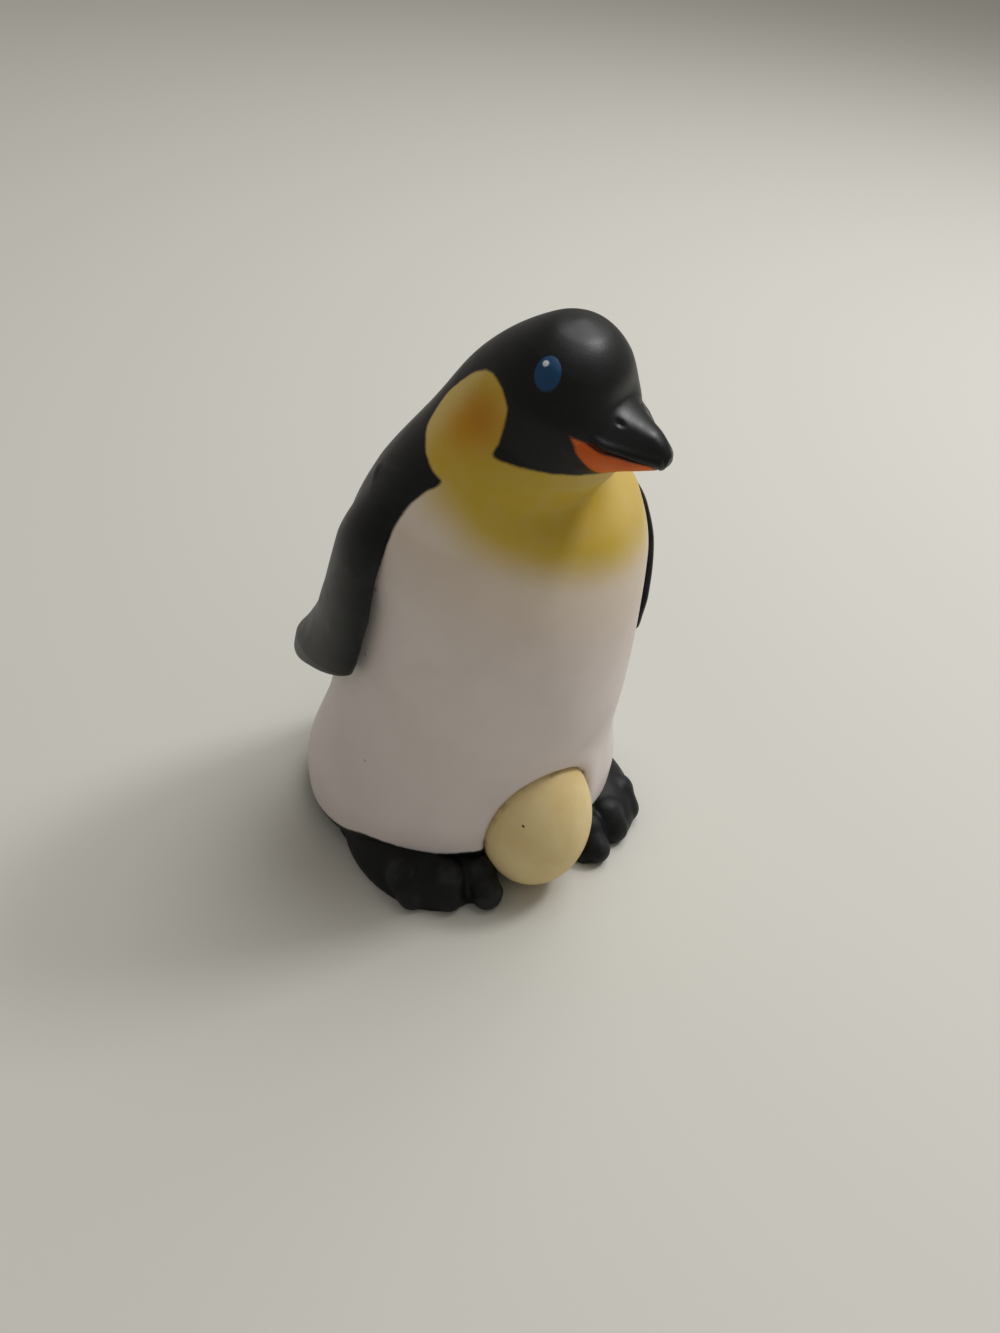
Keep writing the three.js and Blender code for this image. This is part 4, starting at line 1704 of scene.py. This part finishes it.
        # Stores where the orange turns black, near the lip and behind the cheek line.
        point_values(mesh, "black_border", np.maximum(self.black_border - near, behind))
        relax(mesh, smoothstep(*self.lower_smooth, near), self.lower_rounds)
        return placed("penguin_lower_bill", mesh, self.form.shift())

    def dress(self, upper: Object, lower: Object, effects: SharedEffects) -> None:
        """Gives both halves their paint and their place in the figure.

        Args:
            upper: The upper half.
            lower: The lower half.
            effects: Shared groups.
        """
        black = BlackVinyl("bill_black_paint", BLACK, roughness=0.36, gloss=0.25, rub_from=0.03, rub_to=0.2)
        orange = OrangePaint("bill_orange_paint", ORANGE, roughness=0.45, gloss=0.25)
        join_figure(upper, "upper_bill", black.material(effects))
        join_figure(lower, "lower_bill", orange.material(effects))


@dataclass
class Eye:
    """An oval bead that follows the side of the head and is sunk into it."""

    form: BodyForm
    side: Side
    station: float = 10.88
    angle: float = 88.0
    half_width: float = 1.87
    half_height: float = 2.6
    half_depth: float = 0.8
    proud: float = 0.2
    sunk: float = 0.03
    rim_share: float = 0.96
    step: float = 0.01
    weld_distance: float = 1e-4
    glint_place: Column = (-0.55, 0.95)
    glint_radius: float = 0.42
    rings: int = 48
    sides: int = 64

    def build(self) -> Object:
        """Builds the bead and stores its rim and its glint.

        Returns:
            The eye's object.
        """
        body = self.form.surface()
        angle = self.side.value * self.angle
        outward = Vector(body.normals(self.station, angle))
        upward = (Vector((0, 0, 1)) - outward * outward.z).normalized()
        axes = np.array([upward.cross(outward), upward, outward])
        centre = body.points(self.station, angle)
        further = body.points(self.station + self.step, angle), body.points(self.station, angle + self.step)
        slopes = (np.stack(further) - centre) @ axes[:2].T / self.step
        polar = np.linspace(0.0, math.pi, self.rings + 2)[1:-1, None]
        around = np.arange(self.sides)[None, :] * 2.0 * math.pi / self.sides
        flat = np.stack([np.sin(polar) * np.cos(around), np.sin(polar) * np.sin(around)], -1)
        depth = -np.cos(polar) + 0.0 * around
        place = (flat * (self.half_width, self.half_height)) @ np.linalg.inv(slopes)
        crown = (self.proud + self.sunk) * depth**2
        lift = np.where(depth > 0.0, crown, self.half_depth * depth) - self.sunk
        rings = body.lifted(self.station + place[..., 0], angle + place[..., 1], lift)
        low = body.lifted(self.station, angle, np.array(-self.half_depth - self.sunk))
        high = body.lifted(self.station, angle, np.array(self.proud))
        mesh = skin(f"{self.side.word}_eye_skin", rings, low, high)
        weld(mesh, self.weld_distance)
        local = (coordinates(mesh) - centre) @ axes.T
        oval = np.hypot(local[:, 0] / self.half_width, local[:, 1] / self.half_height)
        point_values(mesh, "rim", (oval - self.rim_share) * self.half_width)
        ahead = -self.side.value * self.glint_place[0]
        away = np.hypot(local[:, 0] - ahead, local[:, 1] - self.glint_place[1])
        point_values(mesh, "glint", np.where(local[:, 2] > -self.proud, self.glint_radius - away, -1.0))
        return placed(f"penguin_{self.side.word}_eye", mesh, self.form.shift())

    def dress(self, piece: Object, material: Material) -> None:
        """Gives the eye its paint and its place in the figure."""
        join_figure(piece, f"{self.side.word}_eye", material)


@dataclass
class Flipper:
    """A flipper whose edges follow the body and stand off it towards the tip."""

    form: BodyForm
    side: Side
    front_station: Column = (7.75, 7.4, 6.9, 6.3, 5.6, 5.05, 4.65, 4.35, 4.2, 4.1)
    front_angle: Column = (84, 84, 82, 78, 77, 79, 82, 86, 90, 97)
    front_lift: Column = (-1.8, -0.9, -0.3, 0.8, 2.0, 2.4, 2.4, 2.2, 2.2, 2.8)
    rear_station: Column = (7.65, 7.2, 6.6, 5.9, 5.2, 4.65, 4.2, 3.85, 3.6, 3.55)
    rear_angle: Column = (94, 110, 119, 122, 122, 125, 127, 128, 125, 118)
    rear_lift: Column = (-2.0, -1.2, -1.1, -0.6, 0.3, 1.6, 4.2, 6.4, 6.8, 6.2)
    half_thickness: Column = (0.7, 1.4, 1.9, 2.1, 2.1, 2.0, 2.0, 1.9, 1.5, 1.0)
    left_shoulder_swing: float = -22.0
    left_tip_swing: float = 25.0
    left_lift: float = 1.5
    left_tuck: float = 2.4
    left_tuck_share: Column = (0.45, 0.15)
    tip_share: Column = (0.9, 0.97)
    tip_rounds: int = 30
    # The soft join with the body: the part of the body, and where on the flipper it takes hold.
    shoulder: Blend = Blend(rise=1.1, reach=2.4, tuck=1.2)
    shoulder_share: float = 0.36
    shoulder_chord: Column = (0.1, 0.45)
    shoulder_stations: Column = (5.0, 9.2)
    shoulder_degrees: Column = (50.0, 170.0)
    shoulder_count: int = 200
    rings: int = 120
    sides: int = 96
    ridge_spread: int = 8

    def build(self) -> Object:
        """Builds the paddle with a rounded tip.

        Returns:
            The flipper's object.
        """
        body = self.form.surface()
        share = np.linspace(1.0, 0.0, self.rings)
        angle = np.arange(self.sides) * 2.0 * math.pi / self.sides
        front = self.columns((self.front_station, self.front_angle, self.front_lift), share)
        rear = self.columns((self.rear_station, self.rear_angle, self.rear_lift), share)
        half = self.columns((self.half_thickness,), share)[0]
        towards_rear = (1.0 - np.cos(angle)) / 2.0
        station, degrees, lift = front[..., None] + (rear - front)[..., None] * towards_rear
        if self.side is Side.LEFT:
            swing = self.left_shoulder_swing + (self.left_tip_swing - self.left_shoulder_swing) * share
            degrees = degrees - swing[:, None]
            tuck = self.left_tuck * smoothstep(*self.left_tuck_share, share)
            lift = lift + (self.left_lift * np.sin(math.pi * share) - tuck)[:, None]
        offset = lift + half[:, None] * np.sin(angle)
        rings = body.lifted(station, self.side.value * degrees, offset)
        if self.side is Side.RIGHT:
            rings = rings[:, ::-1]
        mesh = skin(f"{self.side.word}_flipper_skin", rings, rings[0].mean(0), rings[-1].mean(0))
        ends = np.append(np.repeat(share, self.sides), [1.0, 0.0])
        relax(mesh, smoothstep(*self.tip_share, ends), self.tip_rounds)
        chord = np.append(np.tile(towards_rear[:: self.side.value], self.rings), [0.5, 0.5])
        self.join_shoulder(mesh, body, ends, chord)
        store_ridges(mesh, self.ridge_spread)
        return placed(f"penguin_{self.side.word}_flipper", mesh, self.form.shift())

    def join_shoulder(self, mesh: Mesh, body: RailSurface, share: Array, chord: Array) -> None:
        """Lets the upper end of the flipper run smoothly into the body.

        Args:
            mesh: The flipper's mesh, in millimetres.
            body: The body's surface.
            share: Place of each point along the flipper, 0 at the shoulder.
            chord: Place of each point across it, 0 at its front edge.
        """
        upper = np.flatnonzero(share < self.shoulder_share)
        degrees = tuple(self.side.value * angle for angle in self.shoulder_degrees)
        face, facing = body.patch(self.shoulder_stations, degrees, self.shoulder_count)
        points = coordinates(mesh)
        move = self.shoulder.along(points[upper], directions(mesh)[upper], face, facing)
        weight = smoothstep(self.shoulder_share, 0.5 * self.shoulder_share, share[upper])
        weight *= smoothstep(*self.shoulder_chord, chord[upper])
        points[upper] += move * weight[:, None]
        set_coordinates(mesh, points)

    @staticmethod
    def columns(values: tuple[Column, ...], share: Array) -> Array:
        """Smooth values of each column at places along the flipper, 0 at the shoulder."""
        at = share * (len(values[0]) - 1)
        return np.array([curve_points(np.array(column)[:, None], at)[..., 0] for column in values])

    def dress(self, piece: Object, material: Material) -> None:
        """Gives the flipper its finish and its place in the figure."""
        join_figure(piece, f"{self.side.word}_flipper", material)


def finished(board: NodeBoard, shape: NodeSocket, finish: NodeSocket) -> NodeSocket:
    """Ends a tree of geometry nodes in plain geometry with its finish.

    Args:
        board: Board of the tree.
        shape: Socket of the geometry, with or without instances.
        finish: Socket of the material.

    Returns:
        The socket of the finished geometry.
    """
    real = board.add("GeometryNodeRealizeInstances", {"Geometry": shape})
    inputs = {"Geometry": real.outputs["Geometry"], "Material": finish}
    return board.add("GeometryNodeSetMaterial", inputs).outputs["Geometry"]


def toe_beads_tree() -> NodeTree:
    """Geometry nodes that set a round bead on each point of the toes.

    Returns:
        The tree, with inputs for the points, the beads' fineness and the material.
    """
    inputs = {"Points": "Geometry", "Fineness": "Int", "Finish": "Material"}
    board, given, made = group_board("Geometry", "toe_beads", inputs, {"Toes": "Geometry"})
    bead = board.add("GeometryNodeMeshIcoSphere", {"Radius": 1.0, "Subdivisions": given["Fineness"]})
    radius = board.add("GeometryNodeInputNamedAttribute", {"Name": "bead"}, data_type="FLOAT")
    beads = board.add(
        "GeometryNodeInstanceOnPoints",
        {"Points": given["Points"], "Instance": bead.outputs["Mesh"], "Scale": radius.outputs["Attribute"]},
    )
    board.feed(made["Toes"], finished(board, beads.outputs["Instances"], given["Finish"]))
    return board.tree


def egg_tree() -> NodeTree:
    """Geometry nodes that taper a ball into an egg.

    Returns:
        The tree, with inputs for the egg's sizes, its fineness and the material.
    """
    inputs = {name: "Float" for name in ("Half Length", "Radius", "Taper")}
    inputs |= {"Segments": "Int", "Rings": "Int", "Finish": "Material"}
    board, given, made = group_board("Geometry", "egg_rule", inputs, {"Egg": "Geometry"})
    ball = board.add(
        "GeometryNodeMeshUVSphere",
        {"Segments": given["Segments"], "Rings": given["Rings"], "Radius": 1.0},
    )
    position = board.add("GeometryNodeInputPosition").outputs["Position"]
    place = board.add("ShaderNodeSeparateXYZ", {"Vector": position}).outputs
    narrow = board.maths("SUBTRACT", 1.0, board.times(given["Taper"], place["Z"]))
    ring = board.times(given["Radius"], narrow)
    sizes = {"X": ring, "Y": ring, "Z": given["Half Length"]}
    scaled = {axis: board.times(place[axis], size) for axis, size in sizes.items()}
    egg_place = board.add("ShaderNodeCombineXYZ", scaled).outputs["Vector"]
    egg = board.add("GeometryNodeSetPosition", {"Geometry": ball.outputs["Mesh"], "Position": egg_place})
    board.feed(made["Egg"], finished(board, egg.outputs["Geometry"], given["Finish"]))
    return board.tree


def grown(base: Mesh, tree: NodeTree, values: dict[str, Any], name: str) -> Mesh:
    """Plain mesh that a tree of geometry nodes makes.

    Args:
        base: Mesh that the tree starts from.
        tree: The tree.
        values: Values of its named inputs.
        name: Name of the new mesh.

    Returns:
        The new mesh.
    """
    carrier = bpy.data.objects.new(f"{name}_carrier", base)
    bpy.context.scene.collection.objects.link(carrier)
    modifier = carrier.modifiers.new(tree.name, "NODES")
    modifier.node_group = tree
    for item in tree.interface.items_tree:
        if item.item_type == "SOCKET" and item.in_out == "INPUT" and item.name in values:
            modifier[item.identifier] = values[item.name]
    mesh = evaluated(carrier, name)
    carrier.modifiers.remove(modifier)
    bpy.data.objects.remove(carrier)
    return mesh


@dataclass
class Foot:
    """A broad foot with three knuckled toes."""

    form: BodyForm
    side: Side
    instep_centre: Column = (15.8, 10.5, 1.5)
    instep_half_sizes: Column = (10.6, 15.9, 7.0)
    heel_centre: Column = (19.2, 2.5, 1.0)
    heel_half_sizes: Column = (6.2, 7.5, 3.8)
    toe_root: Column = (17.6, 7.0, 4.8)
    knuckles: tuple[Column, ...] = ((21.9, 18.4, 3.9), (16.4, 22.5, 4.1), (11.2, 23.6, 3.9))
    tips: tuple[Column, ...] = ((22.1, 21.4, 2.0), (17.2, 24.6, 2.1), (11.4, 27.2, 2.1))
    toe_radius: float = 3.0
    knuckle_radius: float = 3.3
    tip_radius: float = 2.6
    bead_fineness: int = 4
    instep_fineness: int = 5
    toe_steps: int = 12
    web_start: Column = (21.0, 20.1, 0.9)
    web_end: Column = (9.8, 26.3, 1.0)
    web_radius: float = 2.0
    web_steps: int = 18
    left_inset: float = 0.7
    left_rise: float = 0.8
    voxel: float = 0.36
    calm_rounds: int = 5
    ridge_spread: int = 8

    def build(self, tree: NodeTree, material: Material) -> Object:
        """Builds the foot as one skin over its instep and toes.

        Args:
            tree: Geometry nodes for the toes.
            material: Finish of the foot.

        Returns:
            The foot's object.
        """
        points, radii = self.toes()
        base = bpy.data.meshes.new("toe_points")
        base.from_pydata(points.tolist(), [], [])
        point_values(base, "bead", radii)
        values = {"Fineness": self.bead_fineness, "Finish": material}
        beads = grown(base, tree, values, "toe_bead_skin")
        work = bmesh.new()
        work.from_mesh(beads)
        rise = self.left_rise if self.side is Side.LEFT else 0.0
        instep = (self.instep_centre, self.instep_half_sizes)
        heel = (self.heel_centre, self.heel_half_sizes)
        for centre, (half_width, half_length, half_height) in (instep, heel):
            half_sizes = Matrix.Diagonal((half_width, half_length, half_height + rise, 1.0))
            place = Matrix.Translation(self.mirrored(centre)) @ half_sizes
            bmesh.ops.create_icosphere(work, subdivisions=self.instep_fineness, radius=1.0, matrix=place)
        work.to_mesh(beads)
        work.free()
        carrier = shown("foot_carrier", beads)
        remesh = carrier.modifiers.new("one_skin", "REMESH")
        remesh.mode = "VOXEL"
        remesh.voxel_size = self.voxel
        mesh = evaluated(carrier, f"{self.side.word}_foot_skin")
        bpy.data.objects.remove(carrier)
        relax(mesh, np.ones(len(mesh.vertices)), self.calm_rounds)
        level = coordinates(mesh)
        level[:, 2] = np.maximum(level[:, 2], 0.0)
        set_coordinates(mesh, level)
        store_ridges(mesh, self.ridge_spread)
        return placed(f"penguin_{self.side.word}_foot", mesh, self.form.shift())

    def mirrored(self, place: Column) -> Vector:
        """Point of this foot from its distance sideways, forward and up."""
        sideways, forward, height = place
        return Vector((self.side.value * sideways, -forward, height))

    def toes(self) -> tuple[Array, Array]:
        """Beads along the toes and the web between them.

        Returns:
            The beads' middles and radii.
        """
        points, radii = [], []
        inset = np.array((self.left_inset, 0.0, 0.0)) if self.side is Side.LEFT else np.zeros(3)
        for knuckle, tip in zip(self.knuckles, self.tips):
            root, joint, end = (np.array(self.mirrored(p)) - inset for p in (self.toe_root, knuckle, tip))
            for share in np.linspace(0.0, 1.0, self.toe_steps):
                points.append(root + (joint - root) * share)
                radii.append(self.toe_radius)
                points.append(joint + (end - joint) * share)
                radii.append(self.toe_radius + (self.tip_radius - self.toe_radius) * share)
            points.append(joint)
            radii.append(self.knuckle_radius)
        outer, inner = (np.array(self.mirrored(p)) - inset for p in (self.web_start, self.web_end))
        for share in np.linspace(0.0, 1.0, self.web_steps):
            points.append(outer + (inner - outer) * share)
            radii.append(self.web_radius)
        return np.array(points), np.array(radii)

    def dress(self, piece: Object, material: Material) -> None:
        """Gives the foot its finish and its place in the figure."""
        join_figure(piece, f"{self.side.word}_foot", material)


@dataclass
class Egg:
    """The egg in the pouch."""

    form: BodyForm
    egg: EggForm
    segments: int = 200
    rings: int = 130
    # Part of the body around the fold.
    fold_stations: Column = (0.5, 4.0)
    fold_degrees: Column = (-45.0, 45.0)
    fold_count: int = 120
    # Angle and height of the dark fleck on the egg's right.
    fleck_place: Column = (-51.0, 2.4)
    fleck_radius: float = 0.24

    def build(self, material: Material) -> Object:
        """Builds the egg and stores how near the fold its points lie.

        Args:
            material: Paint of the egg.

        Returns:
            The egg's object.
        """
        values = {
            "Half Length": self.egg.half_length,
            "Radius": self.egg.radius,
            "Taper": self.egg.taper,
            "Segments": self.segments,
            "Rings": self.rings,
            "Finish": material,
        }
        mesh = grown(bpy.data.meshes.new("egg_start"), egg_tree(), values, "egg_skin")
        body = self.form.surface()
        local = coordinates(mesh)
        around, height = math.radians(self.fleck_place[0]), self.fleck_place[1]
        spot = (self.egg.radius * math.sin(around), -self.egg.radius * math.cos(around), height)
        far = np.linalg.norm(local - local[nearest_index(np.array([spot]), local)], axis=1)
        point_values(mesh, "fleck", self.fleck_radius - far)
        points = local @ self.egg.turn().T + self.egg.centre(body)
        set_coordinates(mesh, points)
        front, outward = body.patch(self.fold_stations, self.fold_degrees, self.fold_count)
        point_values(mesh, "fold", height_above(points, front, outward)[0])
        return placed("penguin_egg", mesh, self.form.shift())

    def dress(self, piece: Object, material: Material) -> None:
        """Gives the egg its paint and its place in the figure."""
        join_figure(piece, "egg", material)


# The studio


@dataclass
class Studio:
    """A plain pale floor, soft light and the camera at the photograph's viewing angle."""

    shift: Array
    camera_place: Column = (-91.6, -135.0, 150.0)
    pitch: float = 37.0
    yaw: float = -35.9
    roll: float = 6.0
    focal_pixels: float = 1200.0
    picture_height: float = 1333.0
    sensor: float = 36.0
    nearest: float = 0.01
    floor_half: float = 6.0
    floor_colour: Colour = display(205, 204, 196)
    floor_grain: float = 6.0
    floor_tone: float = 0.12
    floor_deeper: float = 0.94
    floor_roughness: float = 0.7
    lamp_aim: Column = (0.0, 0.0, 0.04)
    key_place: Column = (0.38, 0.08, 0.7)
    key_size: float = 0.62
    key_power: float = 3.6
    side_place: Column = (0.45, -0.06, 0.54)
    side_size: float = 0.12
    side_power: float = 1.25
    sky_colour: Colour = (1.0, 0.95, 0.88, 1.0)
    sky: float = 0.3

    def build(self) -> None:
        """Builds the floor, the lights, the world and the camera."""
        self.floor()
        self.lights()
        self.world()
        self.camera()

    def floor(self) -> None:
        """Lays a floor with a faint grain."""
        half = self.floor_half
        corners = [(-half, -half, 0), (half, -half, 0), (half, half, 0), (-half, half, 0)]
        mesh = bpy.data.meshes.new("floor")
        mesh.from_pydata(corners, [], [(0, 1, 2, 3)])
        floor = shown("studio_floor", mesh)
        material = bpy.data.materials.new("floor_paint")
        material.use_nodes = True
        board = NodeBoard(material.node_tree)
        shader = material.node_tree.nodes["Principled BSDF"].inputs
        place = board.add("ShaderNodeTexCoord").outputs["Object"]
        tone = board.times(board.noise(place, self.floor_grain, 2.0), self.floor_tone)
        deeper = tuple(self.floor_deeper * value for value in self.floor_colour[:3]) + (1.0,)
        board.feed(shader["Base Color"], board.mix(tone, self.floor_colour, deeper))
        shader["Roughness"].default_value = self.floor_roughness
        mesh.materials.append(material)

    def lights(self) -> None:
        """Hangs a large soft key above the figure's left and a small weak lamp beside it."""
        self.lamp("key_light", self.key_place, self.key_size, self.key_power)
        self.lamp("side_light", self.side_place, self.side_size, self.side_power)

    def lamp(self, name: str, place: Column, size: float, power: float) -> None:
        """Hangs one square lamp that faces the figure.

        Args:
            name: Name of the lamp.
            place: Its place in metres.
            size: Its edge in metres.
            power: Its power in watts.
        """
        data = bpy.data.lights.new(name, "AREA")
        data.size = size
        data.energy = power
        lamp = bpy.data.objects.new(name, data)
        lamp.location = place
        aim = Vector(self.lamp_aim) - Vector(place)
        lamp.rotation_euler = aim.to_track_quat("-Z", "Y").to_euler()
        bpy.context.scene.collection.objects.link(lamp)

    def world(self) -> None:
        """Fills the room with an even pale light."""
        world = bpy.data.worlds.new("studio_world")
        world.use_nodes = True
        background = world.node_tree.nodes["Background"]
        background.inputs["Color"].default_value = self.sky_colour
        background.inputs["Strength"].default_value = self.sky
        bpy.context.scene.world = world

    def camera(self) -> None:
        """Sets up the camera."""
        pitch, yaw, roll = (math.radians(value) for value in (self.pitch, self.yaw, self.roll))
        right = Vector((math.cos(yaw), math.sin(yaw), 0.0))
        flat = Vector((-math.sin(yaw), math.cos(yaw), 0.0))
        forward = flat * math.cos(pitch) - Vector((0.0, 0.0, math.sin(pitch)))
        down = forward.cross(right)
        across = right * math.cos(roll) - down * math.sin(roll)
        lower = right * math.sin(roll) + down * math.cos(roll)
        turn = Matrix((across, -lower, -forward)).transposed().to_4x4()
        place = (Vector(self.camera_place) + Vector(self.shift)) * MM
        data = bpy.data.cameras.new("camera")
        data.sensor_width = self.sensor
        data.lens = self.focal_pixels / self.picture_height * self.sensor
        data.clip_start = self.nearest
        camera = bpy.data.objects.new("camera", data)
        camera.matrix_world = Matrix.Translation(place) @ turn
        bpy.context.scene.collection.objects.link(camera)
        bpy.context.scene.camera = camera


def main() -> None:
    """Builds the figure and the studio."""
    logging.basicConfig(level=logging.INFO, format="%(name)s: %(message)s")
    bpy.context.scene.view_settings.view_transform = "Standard"
    form, egg_form, effects = BodyForm(), EggForm(), SharedEffects()
    Studio(form.shift()).build()
    shell = BodyShell(form, egg_form)
    body = shell.build()
    shell.dress(body, effects)
    plug = BasePlug(form)
    plug.dress(plug.build(), effects)
    bill = Bill(form)
    bill.spray(body)
    bill.dress(bill.build_upper(), bill.build_lower(), effects)
    eye_paint = EyePaint("eye_blue_paint", display(10, 60, 97), roughness=0.42).material(effects)
    flipper_vinyl = BlackVinyl("flipper_black_vinyl", BLACK, roughness=0.42, gloss=0.25).material(effects)
    foot_black = display(10, 12, 13)
    foot_vinyl = BlackVinyl("foot_black_vinyl", foot_black, roughness=0.52, gloss=0.22).material(effects)
    toes = toe_beads_tree()
    for side in Side:
        eye = Eye(form, side)
        eye.dress(eye.build(), eye_paint)
        flipper = Flipper(form, side)
        flipper.dress(flipper.build(), flipper_vinyl)
        foot = Foot(form, side)
        foot.dress(foot.build(toes, foot_vinyl), foot_vinyl)
    egg_paint = EggPaint("egg_cream_paint", display(228, 209, 156), roughness=0.5).material(effects)
    egg = Egg(form, egg_form)
    egg.dress(egg.build(egg_paint), egg_paint)


if __name__ == "__main__":
    main()
